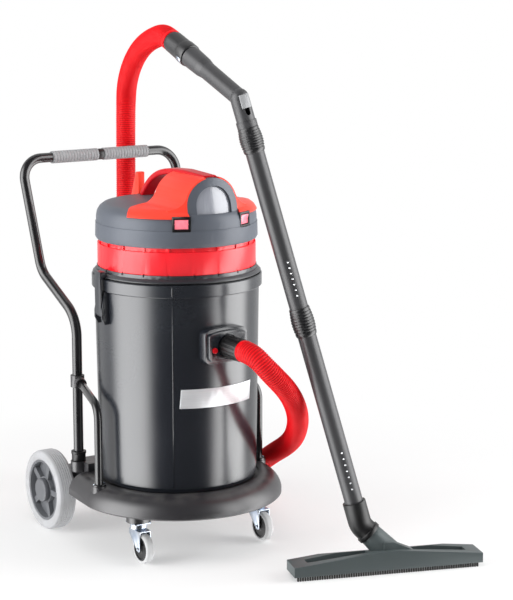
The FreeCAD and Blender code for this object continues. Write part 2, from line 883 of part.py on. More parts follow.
def wall_envelope():
    """The space that the tank's wall takes, with a sliver of clearance."""
    foot = tank_outer_radius(tank_bottom_z + tank_foot_fillet)
    return lathe([(0, tank_bottom_z), (foot + part_gap, tank_bottom_z),
                  (tank_top_radius + part_gap, rim_bottom_z), (0, rim_bottom_z)])


def make_clasp_brackets():
    """Cheeks on the tank's sides with the pins that carry the clasps."""
    half = clasp_width / 2 + 1
    edge = half + clasp_cheek_thickness
    top_z = rim_bottom_z - part_gap
    reach = clasp_pin_reach + clasp_cheek_stand
    low_radius = tank_outer_radius(clasp_cheek_bottom_z) - 2
    cheeks = []
    for y in (-edge, half):
        outline = polygon_face([(low_radius, y, clasp_cheek_bottom_z),
                                (clasp_pin_reach, y, clasp_cheek_bottom_z),
                                (reach, y, clasp_pin_z - 8), (reach, y, clasp_pin_z + 10),
                                (rim_radius + 2, y, top_z), (tank_top_radius - 2, y, top_z)])
        cheeks.append(outline.extrude(V(0, clasp_cheek_thickness, 0)))
    backing = block(tank_bottom_radius - 5, clasp_pin_reach - clasp_backing_depth, -edge, edge,
                    clasp_cheek_bottom_z, top_z)
    pin_hole = rod(V(clasp_pin_reach, -far, clasp_pin_z), V(clasp_pin_reach, far, clasp_pin_z),
                   clasp_pin_radius)
    bracket = largest(backing.fuse(cheeks).cut([wall_envelope(), pin_hole])).removeSplitter()
    pin_end = edge + pin_stop
    pin = rod(V(clasp_pin_reach, -pin_end, clasp_pin_z), V(clasp_pin_reach, pin_end, clasp_pin_z),
              clasp_pin_radius)
    return both_sides(bracket) + both_sides(pin)


def make_clasp():
    """Clasp lever on the right side: a plate with a knuckle below and a sloping nose above."""
    half = clasp_width / 2
    slope = head_flange_radius + head_bottom_z + 1
    reach = clasp_face_reach
    outer = reach + clasp_thickness
    nose_z = slope + clasp_slope_gap * math.sqrt(2) - clasp_nose_reach
    plate = polygon_face([(reach, -half, clasp_pin_z), (reach, -half, slope + 5 - reach),
                          (clasp_nose_reach, -half, nose_z), (clasp_nose_reach, -half, clasp_top_z - 3),
                          (clasp_nose_reach + 4, -half, clasp_top_z), (reach + 3, -half, clasp_top_z),
                          (outer, -half, clasp_top_z - 5), (outer - 1.5, -half, clasp_pin_z)])
    lever = plate.extrude(V(0, clasp_width, 0))
    low = V(clasp_pin_reach, -half, clasp_pin_z)
    knuckle = rod(low, low + V(0, clasp_width, 0), clasp_pin_radius + clasp_knuckle_wall)
    bore = rod(low - V(0, cut_over, 0), low + V(0, clasp_width + cut_over, 0), clasp_pin_radius + running_gap)
    return fuse_all([lever, knuckle]).cut(bore)


def bezel_slab(inset, face_reach):
    """One step of the inlet surround: a rounded slab whose top edge is slightly arched."""
    half_w = bezel_width / 2 - inset
    low = inlet_z - bezel_height / 2 + inset
    high = inlet_z + bezel_height / 2 - inset
    y = -face_reach
    sides = [Part.LineSegment(V(-half_w, y, high), V(-half_w, y, low)),
             Part.LineSegment(V(-half_w, y, low), V(half_w, y, low)),
             Part.LineSegment(V(half_w, y, low), V(half_w, y, high)),
             Part.Arc(V(half_w, y, high), V(0, y, high + bezel_crown), V(-half_w, y, high))]
    slab = Part.Face(Part.Wire([side.toShape() for side in sides])).extrude(V(0, face_reach - deep_in, 0))
    return slab.makeFillet(bezel_corner - inset / 2, upright_edges(slab, V(0, 1, 0)))


def make_bezel():
    """Two-step inlet surround that follows the tank's wall."""
    shape = bezel_slab(0, bezel_face_reach - bezel_step_depth).fuse(bezel_slab(bezel_step, bezel_face_reach))
    shape = largest(shape.removeSplitter().cut(wall_envelope()))
    bore = rod(V(0, -deep_in, inlet_z), V(0, -far, inlet_z), spigot_radius + running_gap)
    recess = rod(V(0, -bezel_face_reach + button_stand, inlet_z), V(0, -far, inlet_z),
                 hose_radius + cuff_rib_height + 1.5)
    button_hole = rod(V(button_x, -bezel_face_reach + button_length, button_z), V(button_x, -far, button_z),
                      button_radius + part_gap)
    return turned(shape.cut([bore, recess, button_hole]), inlet_turn_deg)


def make_spigot():
    """Inlet tube through the tank's wall."""
    start = V(0, -(tank_top_radius - 38), inlet_z)
    end = V(0, -(cuff_front_reach - cuff_length / 2), inlet_z)
    return turned(tube(start, end, spigot_radius, spigot_radius - spigot_wall), inlet_turn_deg)


def make_deflector():
    """Hood inside the tank that turns the inflow downwards."""
    reach = tank_outer_radius(inlet_z) - tank_wall - 12
    near = V(0, -reach, inlet_z)
    far_end = V(0, -reach + 52, inlet_z)
    shell = rod(near, far_end, spigot_radius + 8)
    shell = shell.cut(rod(near - V(0, 1, 0), far_end - V(0, 4, 0), spigot_radius + 4))
    shell = shell.cut(block(-far, far, -reach + 22, 0, inlet_z - far, inlet_z - 12))
    collar = tube(near, near + V(0, 10, 0), spigot_radius + 6, spigot_radius + running_gap)
    return turned(fuse_all([shell, collar]), inlet_turn_deg)


def make_button():
    """Release button of the hose inlet."""
    front = V(button_x, -(bezel_face_reach + button_stand), button_z)
    back = V(button_x, -(bezel_face_reach - button_length + button_travel + 1), button_z)
    head = rod(front, back, button_radius)
    crown = [edge for edge in head.Edges if abs(edge.CenterOfMass.y - front.y) < 0.1]
    return turned(head.makeFillet(2, crown), inlet_turn_deg)


def make_label_plate():
    """Bare label plate on the tank's front."""
    half = label_half_width
    corners = [(-half, label_top_z), (half, label_top_z),
               (half + label_slant, label_bottom_z), (-half + label_slant, label_bottom_z)]
    slab = polygon_face([(x, -deep_in, z) for x, z in corners]).extrude(V(0, -far, 0))
    low = label_bottom_z - label_height
    high = label_top_z + label_height
    near = part_gap
    outer = part_gap + label_thickness
    skin = lathe([(tank_outer_radius(low) + near, low), (tank_outer_radius(low) + outer, low),
                  (tank_outer_radius(high) + outer, high), (tank_outer_radius(high) + near, high)])
    return turned(largest(skin.common(slab)), inlet_turn_deg)


# Head

def make_gasket():
    """Rubber seal between the tank's rim and the head."""
    z0 = rim_top_z + part_gap
    outer = rim_radius - gasket_inset
    return ring(outer, outer - gasket_width, z0, z0 + gasket_height)


def notches(shape):
    """Copies of a cutting or adding tool at each of the head's notches."""
    return [turned(shape, 360 / notch_count * i) for i in range(notch_count)]


def make_head_ring():
    """Dark base ring of the head with its notched edge and the flange for the clasps."""
    z0 = head_bottom_z
    top = z0 + head_ring_height
    ledge = head_ring_inner_radius - head_ledge_width
    shape = lathe([(ledge, z0), (head_flange_radius, z0), (head_flange_radius, z0 + 1),
                   (head_flange_radius - head_flange_height + 1, z0 + head_flange_height),
                   (head_ring_radius, z0 + head_flange_height), (head_ring_radius, top - part_gap),
                   (head_ring_inner_radius, top - part_gap),
                   (head_ring_inner_radius, z0 + head_ledge_thickness),
                   (ledge, z0 + head_ledge_thickness)])
    notch = block(-notch_width / 2, notch_width / 2, -head_ring_radius - cut_over,
                  -head_ring_radius + notch_depth, top - 5, top + cut_over)
    return shape.cut(notches(notch))


def make_band():
    """Glossy band of the head with a groove of air slots along its top."""
    z0 = band_bottom_z
    step = z0 + band_height
    top = step + band_groove_height - part_gap
    deep = band_radius - band_groove_depth
    inner = deep - band_wall
    shape = lathe([(inner, z0), (band_radius, z0), (band_radius, step - 1), (band_radius - 1, step),
                   (deep, step), (deep, top), (inner, top)])
    rib = block(-notch_width / 2, notch_width / 2, -band_radius + 1, -deep + 1, step - 1, top)
    notch = block(-notch_width / 2, notch_width / 2, -band_radius - cut_over, -band_radius + notch_depth,
                  z0 - cut_over, z0 + notch_depth)
    return shape.fuse(notches(rib)).cut(notches(notch)).removeSplitter()


def dome_profile(offset):
    """Outer corners of the dome, moved outwards by an offset: skirt, step, side and rounded shoulder."""
    upper = dome_shoulder_radius
    points = [(skirt_radius - skirt_tuck + offset, skirt_bottom_z),
              (skirt_radius + offset, skirt_bottom_z + 6),
              (skirt_radius - 1 + offset, skirt_top_z),
              (skirt_radius - 1 - skirt_step + offset, skirt_top_z + 0.5)]
    for share in (0.0, 0.25, 0.5, 0.75, 1.0):
        angle = math.radians(90 * share)
        points.append((upper - dome_round_width * (1 - math.cos(angle)) + offset * math.cos(angle),
                       dome_shoulder_z + dome_round_height * math.sin(angle) + offset * math.sin(angle)))
    return points


def dome_solid(offset):
    """Full body of the dome with its outside moved by an offset."""
    return lathe(dome_profile(offset) + [(0, dome_top_z + offset), (0, skirt_bottom_z)])


def hood_envelope(offset):
    """Cone that gives the hood its leaning front face."""
    low = skirt_bottom_z - head_ring_height
    high = hood_crown_z + hood_half_width
    middle = skirt_bottom_z + gland_lift
    return lathe([(0, low), (hood_face_reach + hood_lean * (middle - low) + offset, low),
                  (hood_face_reach - hood_lean * (high - middle) + offset, high), (0, high)])


def arch_prism(half_width, centre_z, bottom_z, front_y, rear_y):
    """Upright arch shape drawn out along Y."""
    sides = [Part.LineSegment(V(-half_width, front_y, bottom_z), V(half_width, front_y, bottom_z)),
             Part.LineSegment(V(half_width, front_y, bottom_z), V(half_width, front_y, centre_z)),
             Part.Arc(V(half_width, front_y, centre_z), V(0, front_y, centre_z + half_width),
                      V(-half_width, front_y, centre_z)),
             Part.LineSegment(V(-half_width, front_y, centre_z), V(-half_width, front_y, bottom_z))]
    return Part.Face(Part.Wire([side.toShape() for side in sides])).extrude(V(0, rear_y - front_y, 0))


def hood_solid(offset):
    """Full body of the arched hood with its outside moved by an offset."""
    prism = arch_prism(hood_half_width + offset, hood_centre_z, skirt_top_z + 2, -far, hood_rear_y)
    return prism.common(hood_envelope(offset))


def panel_prism(margin, drop):
    """Arch of the hood's panel with some room around it."""
    return arch_prism(panel_half_width + margin, panel_centre_z, panel_bottom_z - drop, -far, -deep_in / 2)


def switch_place(shape, side):
    """A switch piece made at the front, moved to its side of the hood."""
    return turned(shape, side * switch_turn_deg)


def switch_pocket(margin):
    """Room for a switch frame in the dome's wall."""
    half = switch_width / 2 + margin
    tall = switch_height / 2 + margin
    return block(-half, half, -far, -switch_face_reach + switch_depth + margin,
                 switch_z - tall, switch_z + tall)


def make_dome():
    """Grey dome shell with the arched hood at its front."""
    mouth = skirt_radius - skirt_tuck - dome_wall
    outer = dome_solid(0).fuse(hood_solid(0))
    inner = dome_solid(-dome_wall).fuse([hood_solid(-hood_wall),
                                         upright_rod(0, 0, 0, skirt_bottom_z + 8, mouth)])
    shape = outer.cut(inner)
    seat = hood_solid(1).common(panel_prism(part_gap, part_gap))
    seat = seat.cut(hood_envelope(-panel_recess - panel_thickness - part_gap))
    wall = hood_solid(0).common(panel_prism(3, 4))
    wall = wall.cut(hood_envelope(-panel_recess - panel_thickness - hood_wall))
    shape = shape.fuse(wall).cut(seat)
    pockets = [switch_place(switch_pocket(part_gap), side) for side in (-1, 1)]
    gland = cable_gland_bar(gland_radius + part_gap, 30, 30)
    screws = both_sides(screw_shape(cover_screw_radius + running_gap, 2.5 * cover_screw_radius))
    return largest(shape.cut(pockets + screws + [gland, hook_foot_hole()])).removeSplitter()


def make_panel():
    """Smooth arched panel set into the hood's front."""
    plate = panel_prism(0, 0).common(hood_envelope(-panel_recess))
    return largest(plate.cut(hood_envelope(-panel_recess - panel_thickness)))


def saddle_section():
    """Cross-section of the left cover's flare, from the spine over the hood down to the dome's top."""
    inner_x = -(hood_half_width - cut_over)
    base = dome_top_z - saddle_sink
    outer = hood_half_width + cover_wall
    centre = hood_centre_z
    slope = math.radians(saddle_slope_deg)
    knee = V(-outer * math.cos(slope), 0, centre + outer * math.sin(slope))
    over = V(-outer * math.cos(slope * 2.4), 0, centre + outer * math.sin(slope * 2.4))
    toe = V(-hood_half_width - cover_flare_radius, 0, dome_top_z + cover_wall - cover_toe_drop)
    sag = V(-hood_half_width - cover_flare_radius * 0.34, 0, dome_top_z + (knee.z - dome_top_z) * 0.36)
    corners = [toe, V(toe.x, 0, base), V(inner_x, 0, base), V(inner_x, 0, centre), V(0, 0, centre),
               V(0, 0, centre + outer)]
    lines = [Part.LineSegment(start, end) for start, end in zip(corners, corners[1:])]
    return lines + [Part.Arc(corners[-1], over, knee), Part.Arc(knee, sag, toe)]


def make_cover():
    """Left cover: it laps the dome's shoulder and flares up the side of the hood."""
    high = hood_crown_z + hood_half_width
    middle = -spine_half_width - part_gap
    sweep_space = upright_rod(cover_sweep_x, cover_sweep_y, cover_edge_z, high, cover_sweep_radius)
    lap = dome_solid(cover_wall).common(sweep_space)
    lap = lap.cut(block(-hood_half_width - cut_over, far, -far, hood_rear_y, skirt_bottom_z, high))
    face = Part.Face(Part.Wire([edge.toShape() for edge in saddle_section()]))
    saddle = face.extrude(V(0, -far, 0)).translated(V(0, hood_rear_y + 2, 0))
    shape = lap.fuse(saddle.common(hood_envelope(0)))
    screw_room = screw_shape(cover_screw_radius + part_gap, 2.5 * cover_screw_radius + part_gap)
    shape = shape.cut([dome_solid(part_gap), hood_solid(part_gap), screw_room,
                       block(middle, far, -far, far, skirt_bottom_z, high),
                       switch_place(switch_pocket(part_gap), -1)])
    return largest(shape).removeSplitter()


def screw_shape(shank, head):
    """Screw in the left cover, from its shank and head radius."""
    top = V(cover_screw_x, cover_screw_y, dome_top_z + cover_wall)
    disc = rod(top - V(0, 0, 1.4), top - V(0, 0, 0.4), head)
    return disc.fuse(rod(top - V(0, 0, cover_screw_length), top - V(0, 0, 1), shank)).removeSplitter()


def make_head_screws():
    """Screws that hold both covers."""
    return both_sides(screw_shape(cover_screw_radius, 2.5 * cover_screw_radius))


def make_carrying_handle():
    """Handle that springs from the dome's rear and runs on as the spine between the covers."""
    top = hood_crown_z + handle_peak_lift
    rear = V(0, dome_top_radius - handle_foot_inset + handle_foot_sink / 2, dome_top_z - handle_foot_sink)
    path = [V(0, handle_front_y, top - 4), V(0, handle_front_y / 3, top), V(0, handle_mid_y, top - 5),
            V(0, handle_fall_y, top - handle_fall), rear]
    wire = rounded_wire(path, [200, 240, 160, 30])
    half = spine_half_width
    thick = handle_thickness / 2
    first = wire.Edges[0]
    across = V(1, 0, 0)
    up = across.cross(first.tangentAt(first.FirstParameter))
    under = path[0] - up * thick
    corners = [path[0] + across * sx * half + up * sz * thick
               for sx, sz in ((1, -1), (1, 1), (-1, 1), (-1, -1))]
    section = rounded_wire([under] + corners + [under], [handle_edge_radius] * 4)
    bar = wire.makePipeShell([section], True, True)
    bar = bar.cut([hood_solid(part_gap), dome_solid(part_gap)])
    return largest(bar)


def hook_foot_hole():
    """Slot in the dome's rear wall for the cable hook's foot."""
    half = hook_width / 2 + part_gap
    return block(-half, half, skirt_radius - 25, far,
                 hook_foot_z - part_gap, hook_foot_z + hook_foot_height + part_gap)


def make_cable_hook():
    """Fin-shaped hook for the mains lead at the rear of the head, wide at its foot."""
    half = hook_width / 2
    front = skirt_radius - hook_front_inset
    outer = skirt_radius + hook_foot_stand
    fin = polygon_face([(-half, front, dome_top_z - dome_round_height), (-half, front, hook_top_z),
                        (-half, front + hook_depth, hook_top_z), (-half, outer, dome_top_z - 8),
                        (-half, outer, hook_foot_z), (-half, front + hook_depth, hook_foot_z)])
    fin = largest(fin.extrude(V(hook_width, 0, 0)).cut(dome_solid(part_gap)))
    foot = block(-half, half, skirt_radius - 12, outer, hook_foot_z, hook_foot_z + hook_foot_height)
    return fin.fuse(foot).removeSplitter()


def cable_gland_bar(radius, inside, outside):
    """Bar through the dome's rear wall where the mains lead enters."""
    wall = skirt_radius - 1
    bar = rod(V(0, -(wall - inside), gland_z), V(0, -(wall + outside), gland_z), radius)
    return turned(bar, gland_turn_deg)


def make_cable_gland():
    """Black gland for the mains lead."""
    body = cable_gland_bar(gland_radius, 12, 16).fuse(cable_gland_bar(gland_radius + 4, -1 - part_gap, 6))
    return body.cut(cable_gland_bar(gland_bore_radius, 20, 30)).removeSplitter()


def make_switch_frames():
    """Black frames around both rocker switches."""
    frame = block(-switch_width / 2, switch_width / 2, -switch_face_reach, -switch_face_reach + switch_depth,
                  switch_z - switch_height / 2, switch_z + switch_height / 2)
    half = rocker_width / 2 + rocker_gap
    tall = rocker_height / 2 + rocker_gap
    opening = block(-half, half, -far, -switch_face_reach + switch_depth - 2,
                    switch_z - tall, switch_z + tall)
    frame = frame.cut([opening, rocker_pin(rocker_pin_radius + running_gap, part_gap)])
    return [switch_place(frame, side) for side in (-1, 1)]


def rocker_pin(radius, extra):
    """Pin that a rocker tilts on, before it is turned to its side."""
    end = rocker_width / 2 + rocker_gap + 2.5 + extra
    y = -switch_face_reach + rocker_pin_depth
    return rod(V(-end, y, switch_z), V(end, y, switch_z), radius)


def make_rocker(side):
    """Rocker of one switch, tilted to off."""
    half = rocker_width / 2
    tall = rocker_height / 2 - 1
    y0 = -switch_face_reach + 1
    pivot = V(0, y0 + rocker_pin_depth - 1, switch_z)
    outline = [(y0, -tall), (y0 + 1, 0), (y0, tall), (y0 + 5, tall),
               (y0 + 8, 4), (y0 + 8, -4), (y0 + 5, -tall)]
    key = polygon_face([(-half, y, switch_z + z) for y, z in outline]).extrude(V(rocker_width, 0, 0))
    key = turned(key, rocker_tilt_deg, pivot, V(1, 0, 0))
    return switch_place(key.fuse(rocker_pin(rocker_pin_radius, 0)).removeSplitter(), side)


def make_motor_plate():
    """Plate that closes the head from below and carries the blowers and the float cage."""
    z0 = cage_top_z + part_gap
    return ring(head_ring_inner_radius - part_gap, suction_hole_radius, z0, z0 + motor_plate_thickness)


def make_motor():
    """Right blower: fan casing below and motor above."""
    base = V(motor_x + 2, motor_y, cage_top_z + 2 * part_gap + motor_plate_thickness)
    fan_top = base + V(0, 0, fan_height)
    motor_top = fan_top + V(0, 0, motor_height)
    fan = rod(base, fan_top, fan_radius)
    fan = fan.makeFillet(6, [edge for edge in fan.Edges if abs(edge.CenterOfMass.z - fan_top.z) < 0.1])
    motor = rod(fan_top - V(0, 0, 1), motor_top, motor_radius)
    cap = rod(motor_top, motor_top + V(0, 0, motor_cap_height), motor_cap_radius)
    return fuse_all([fan, motor, cap])


def make_cage():
    """Slotted cage below the head that guides the float ball."""
    inner = cage_radius - cage_wall
    shell = ring(cage_radius, inner, cage_bottom_z, cage_top_z)
    floor = upright_rod(0, 0, cage_bottom_z, cage_bottom_z + 3, cage_radius)
    flange = ring(cage_radius + cage_flange, inner, cage_top_z - 3, cage_top_z)
    low = cage_bottom_z + cage_slot_lift
    slot = block(-cage_slot_width / 2, cage_slot_width / 2, -cage_radius - 5, -cage_radius + 10,
                 low, low + cage_slot_height)
    shape = fuse_all([shell, floor, flange])
    return shape.cut([turned(slot, 360 / cage_slots * i) for i in range(cage_slots)])


def make_ball():
    """Float ball that shuts the suction when the tank is full."""
    return Part.makeSphere(ball_radius, V(0, 0, cage_bottom_z + 3 + part_gap + ball_radius))


# Hose and wand

def before_inlet(reach):
    """Point on the inlet's axis at a distance from the tank's axis."""
    turn = math.radians(inlet_turn_deg)
    return V(reach * math.sin(turn), -reach * math.cos(turn), inlet_z)


# Route of the hose from the inlet cuff to the handle cuff: round the machine's right side,
# down to the floor behind it, up behind the push handle and over to the handle.
hose_route = [
    before_inlet(cuff_front_reach), before_inlet(cuff_front_reach + 38), V(40, -362, 495), V(101, -357, 436),
    V(160, -306, 362), V(207, -222, 290), V(255, -110, 232), V(297, 20, 175), V(318, 122, 120),
    V(330, 225, 70), V(315, 330, 40), V(270, 420, 32), V(210, 480, 50), V(152, 490, 105), V(122, 475, 190),
    V(108, 458, 300), V(104, 450, 450), V(104, 446, 650), V(105, 445, 850), V(106, 445, 990),
    V(105, 440, 1070), V(98, 422, 1112), V(82.4, 376, 1154), V(61, 310, 1191.5), V(37, 233.6, 1222),
    V(14, 154, 1244.5), V(-5.5, 80, 1259), V(-18, 30, 1266), V(-23.5, -1.9, 1264.1), hose_end]


def hose_radii():
    """Arc radius at each inner point of the hose's route."""
    radii = []
    for before, corner, after in zip(hose_route, hose_route[1:], hose_route[2:]):
        shorter = min((corner - before).Length, (after - corner).Length)
        half_turn = (math.pi - (before - corner).getAngle(after - corner)) / 2
        radii.append(0.45 * shorter / math.tan(half_turn))
    return radii


def make_hose():
    """Plain tube of the hose's outer diameter."""
    radii = hose_radii()
    wire = rounded_wire(hose_route, radii)
    shape = sweep(wire, hose_radius)
    expected = math.pi * hose_radius ** 2 * wire.Length
    print("hose length %.0f mm, volume ratio %.5f" % (wire.Length, shape.Volume / expected))
    print("hose radii", " ".join("%.0f" % radius for radius in radii))
    return shape


def make_inlet_cuff():
    """Black cuff with lengthwise ribs that turns on the inlet tube and holds the hose."""
    length = cuff_front_reach - part_gap - cuff_back_reach
    bore = spigot_radius + running_gap
    inner = spigot_radius - spigot_wall
    plug_end = length - cuff_length / 2 + 3
    body = lathe([(bore, 0), (hose_radius - 1, 0), (hose_radius, 2), (hose_radius, length), (inner, length),
                  (inner, plug_end), (bore, plug_end)])
    rib = block(-cuff_rib_width / 2, cuff_rib_width / 2, hose_radius - cut_over,
                hose_radius + cuff_rib_height, 8, length - 6)
    body = body.fuse([turned(rib, 360 / cuff_ribs * i) for i in range(cuff_ribs)]).removeSplitter()
    return turned(stood_along(body, V(0, -cuff_back_reach, inlet_z), V(0, -1, 0)), inlet_turn_deg)


def handle_direction():
    """Direction of the handle, from the wand's bend towards the hose."""
    return (hose_end - wand_bend).normalize()


def handle_run():
    """Length of the handle tube from the bend to the cuff's step."""
    return (hose_end - wand_bend).Length - handle_cuff_length


def make_handle_cuff():
    """Glossy swivel cuff between the hose and the handle tube."""
    length = handle_cuff_length - part_gap
    bore = handle_neck_radius + 1.5 + running_gap
    inner = handle_neck_radius - handle_tube_wall
    edge = handle_cuff_radius
    profile = [(bore, part_gap), (edge - 2, part_gap), (edge, 3), (edge, 26), (edge - 1.3, 31),
               (edge - 1.8, length - 8), (edge - 4, length), (inner, length), (inner, handle_cuff_plug + 2),
               (bore, handle_cuff_plug + 2)]
    return stood_along(lathe(profile), hose_end - handle_direction() * handle_cuff_length, handle_direction())


def wand_direction():
    """Direction of the wand, from the floor nozzle up to the bend."""
    return (wand_bend - wand_foot).normalize()


def on_wand(distance):
    """Point on the wand's axis, measured from its foot."""
    return wand_foot + wand_direction() * distance


def outward_from_bend():
    """Unit direction across the wand that points away from the handle's upper run."""
    side = wand_direction().cross(handle_direction()).normalize()
    return side.cross(wand_direction()).normalize() * -1, side


def make_handle_tube():
    """Mitred handle tube: a straight foot with its collar and spigot, and an upper run that flares."""
    run = handle_run()
    neck = handle_neck_radius
    flare = [(0, 0), (neck, 0), (neck + 1, flare_start), (neck + 4, flare_start + flare_step),
             (handle_flare_radius, run - 2), (handle_flare_radius - 2, run), (neck + 1.5, run),
             (neck + 1.5, run + handle_cuff_plug), (0, run + handle_cuff_plug)]
    upper = stood_along(lathe(flare), wand_bend, handle_direction())
    collar_start = on_wand(upper_sleeve_end + part_gap)
    collar_end = on_wand(upper_sleeve_end + collar_length)
    spigot_start = on_wand((upper_sleeve_start + upper_sleeve_end) / 2 + part_gap)
    outer = upper.fuse([rod(spigot_start, wand_bend, wand_radius), Part.makeSphere(wand_radius, wand_bend),
                        rod(collar_start, collar_end, collar_radius)])
    bore = neck - handle_tube_wall
    inner = Part.makeSphere(bore, wand_bend)
    inner = inner.fuse([rod(spigot_start - wand_direction(), wand_bend, bore),
                        rod(wand_bend, wand_bend + handle_direction() * (run + handle_cuff_plug + 1), bore)])
    outward, side = outward_from_bend()
    half = bleed_slot_width / 2
    top = wand_bend - wand_direction() * (slider_length - slider_over + 2)
    slot = rod(top, top + outward * far, half)
    bottom = top - wand_direction() * (slider_travel - 2)
    between = Part.Face(Part.makePolygon([top - side * half, top + side * half, bottom + side * half,
                                          bottom - side * half, top - side * half]))
    slot = slot.fuse([rod(bottom, bottom + outward * far, half), between.extrude(outward * far)])
    return largest(outer.cut([inner, slot])).removeSplitter()


def make_air_slider():
    """Thumb slider for the bleed air, at the top of its travel, on the outer side of the bend."""
    along = wand_direction()
    outward, side = outward_from_bend()
    start = wand_bend - along * (slider_length - slider_over)
    end = start + along * slider_length
    shell = tube(start, end, wand_radius + part_gap + slider_thickness, wand_radius + part_gap)
    half = slider_width / 2
    corners = [start + side * a + outward * b for a, b in ((-half, 0), (half, 0), (half, far), (-half, far))]
    keep = Part.Face(Part.makePolygon(corners + [corners[0]])).extrude(along * slider_length)
    return largest(shell.common(keep))


def wand_tube(start, end):
    """One straight tube of the wand."""
    return tube(on_wand(start), on_wand(end), wand_radius, wand_radius - wand_tube_wall)


def make_upper_tube():
    """Upper wand tube."""
    return wand_tube((lower_sleeve_start + lower_sleeve_end) / 2 + part_gap,
                     (upper_sleeve_start + upper_sleeve_end) / 2)


def make_lower_tube():
    """Lower wand tube."""
    return wand_tube(lower_tube_start - tube_plug_depth, (lower_sleeve_start + lower_sleeve_end) / 2)


def make_sleeve(start, end):
    """Ribbed joint sleeve over two tube ends, slightly barrel-shaped."""
    length = end - start
    bore = wand_radius + running_gap
    swell = sleeve_radius - sleeve_end_radius
    pitch = (length - 12) / sleeve_ribs
    profile = [(bore, 0), (sleeve_end_radius - 1, 0), (sleeve_end_radius, 2)]
    for i in range(sleeve_ribs):
        z = 6 + pitch * i
        crest = sleeve_end_radius + swell * math.sin(math.pi * (i + 0.7) / (sleeve_ribs + 0.4))
        valley = crest - sleeve_rib_depth
        profile += [(crest, z), (crest, z + pitch * 0.5),
                    (valley, z + pitch * 0.6), (valley, z + pitch * 0.9)]
    profile += [(sleeve_end_radius, length - 4), (sleeve_end_radius - 1, length), (bore, length)]
    return stood_along(lathe(profile), on_wand(start), wand_direction())


# Floor nozzle

def neck_axis():
    """Unit direction of the swivel axis, out of the nozzle."""
    return V(neck_direction).normalize()


def elbow_corner():
    """Point where the elbow turns from the nozzle's neck to the wand."""
    return on_wand(-elbow_run)


def neck_ring():
    """Centre of the swivel ring between the neck and the elbow."""
    return elbow_corner() - neck_axis() * ring_run


def make_elbow():
    """Smooth elbow that takes the wand and turns on the nozzle's neck."""
    axis = neck_axis()
    foot = neck_ring()
    outer_path = rounded_wire([foot, elbow_corner(), on_wand(lower_tube_start)], [elbow_bend_radius])
    plug = on_wand(lower_tube_start - tube_plug_depth)
    inner_path = rounded_wire([foot - axis, elbow_corner(), plug], [elbow_bend_radius])
    bell = rod(foot, foot + axis * bell_length, bell_radius)
    shell = sweep(outer_path, sleeve_radius).fuse(bell)
    return shell.cut([sweep(inner_path, neck_spigot_radius - 1),
                      rod(plug, on_wand(lower_tube_start + 5), wand_radius + running_gap),
                      rod(foot - axis, foot + axis * (neck_plug + 2), neck_spigot_radius + running_gap)])


def nozzle_placed(shape):
    """A nozzle piece made along X at the origin, turned and moved to its place."""
    return turned(shape, nozzle_turn_deg).translated(V(nozzle_x, nozzle_y, 0))


def nozzle_recess(side):
    """Pointed hollow in one half of the nozzle's top."""
    depth = nozzle_depth / 2
    corners = [(side * recess_inner_x, 16 - depth), (side * recess_outer_x, 22 - depth),
               (side * recess_outer_x, depth - 22), (side * recess_inner_x, depth - 12)]
    return polygon_face([(x, y, recess_floor_z) for x, y in corners]).extrude(V(0, 0, far))


def make_nozzle_body():
    """Wing-shaped nozzle shell with two top recesses, a suction mouth, a gusset and the neck."""
    half = nozzle_length / 2
    depth = nozzle_depth / 2
    low = nozzle_lift
    end_top = low + nozzle_end_height
    ridge = nozzle_ridge_z
    outline = [(-half, low), (half, low), (half, end_top), (nozzle_ridge_half_width, ridge),
               (-nozzle_ridge_half_width, ridge), (-half, end_top)]
    body = polygon_face([(x, -depth, z) for x, z in outline]).extrude(V(0, nozzle_depth, 0))
    slope = polygon_face([(-far, depth + 1, ridge - nozzle_back_fall), (-far, depth + 1, ridge + 1),
                          (-far, 6 - depth, ridge + 1)]).extrude(V(2 * far, 0, 0))
    mouth = block(nozzle_wall - half, half - nozzle_wall, 14 - depth, depth - 14, 0, low + mouth_height)
    body = body.cut([slope, nozzle_recess(-1), nozzle_recess(1), mouth] + strip_blocks(part_gap))
    gusset = polygon_face([(-10, 0, low + 20), (-10, 0, gusset_top_z), (14, 0, gusset_top_z),
                           (gusset_length, 0, ridge - 6), (gusset_length, 0, low + 20)])
    gusset = gusset.extrude(V(0, gusset_thickness, 0)).translated(V(0, -gusset_thickness / 2 - 6, 0))
    body = nozzle_placed(body.fuse(gusset))
    axis = neck_axis()
    top = neck_ring() - axis * part_gap
    run = (neck_ring().z - low - 20) / axis.z
    neck = Part.makeCone(neck_radius, neck_foot_radius, run, top, axis * -1)
    foot = top - axis * run
    clear = rod(top, top + axis * far, bell_radius + 8)
    duct = rod(foot - axis * 14, top + axis * far, neck_spigot_radius - 2.5)
    spigot = rod(top - axis * 2, neck_ring() + axis * neck_plug, neck_spigot_radius)
    below = block(-far, 2 * far, -2 * far, far, -far, low + part_gap)
    slots = [nozzle_placed(slot) for slot in strip_blocks(part_gap)]
    return largest(body.fuse(neck.cut([below] + slots)).cut(clear).fuse(spigot).cut(duct)).removeSplitter()


def strip_blocks(margin):
    """Both strips under the nozzle before they are placed, or the slots that hold them."""
    half = nozzle_length / 2 - strip_margin + margin
    depth = nozzle_depth / 2
    top = nozzle_lift + strip_tuck + margin
    return [block(-half, half, y - margin, y + strip_thickness + margin, -margin, top)
            for y in (strip_inset - depth, depth - strip_inset - strip_thickness)]


def make_strips():
    """Brush strip and rubber strip under the nozzle."""
    return [nozzle_placed(strip) for strip in strip_blocks(0)]


os.makedirs("parts", exist_ok=True)

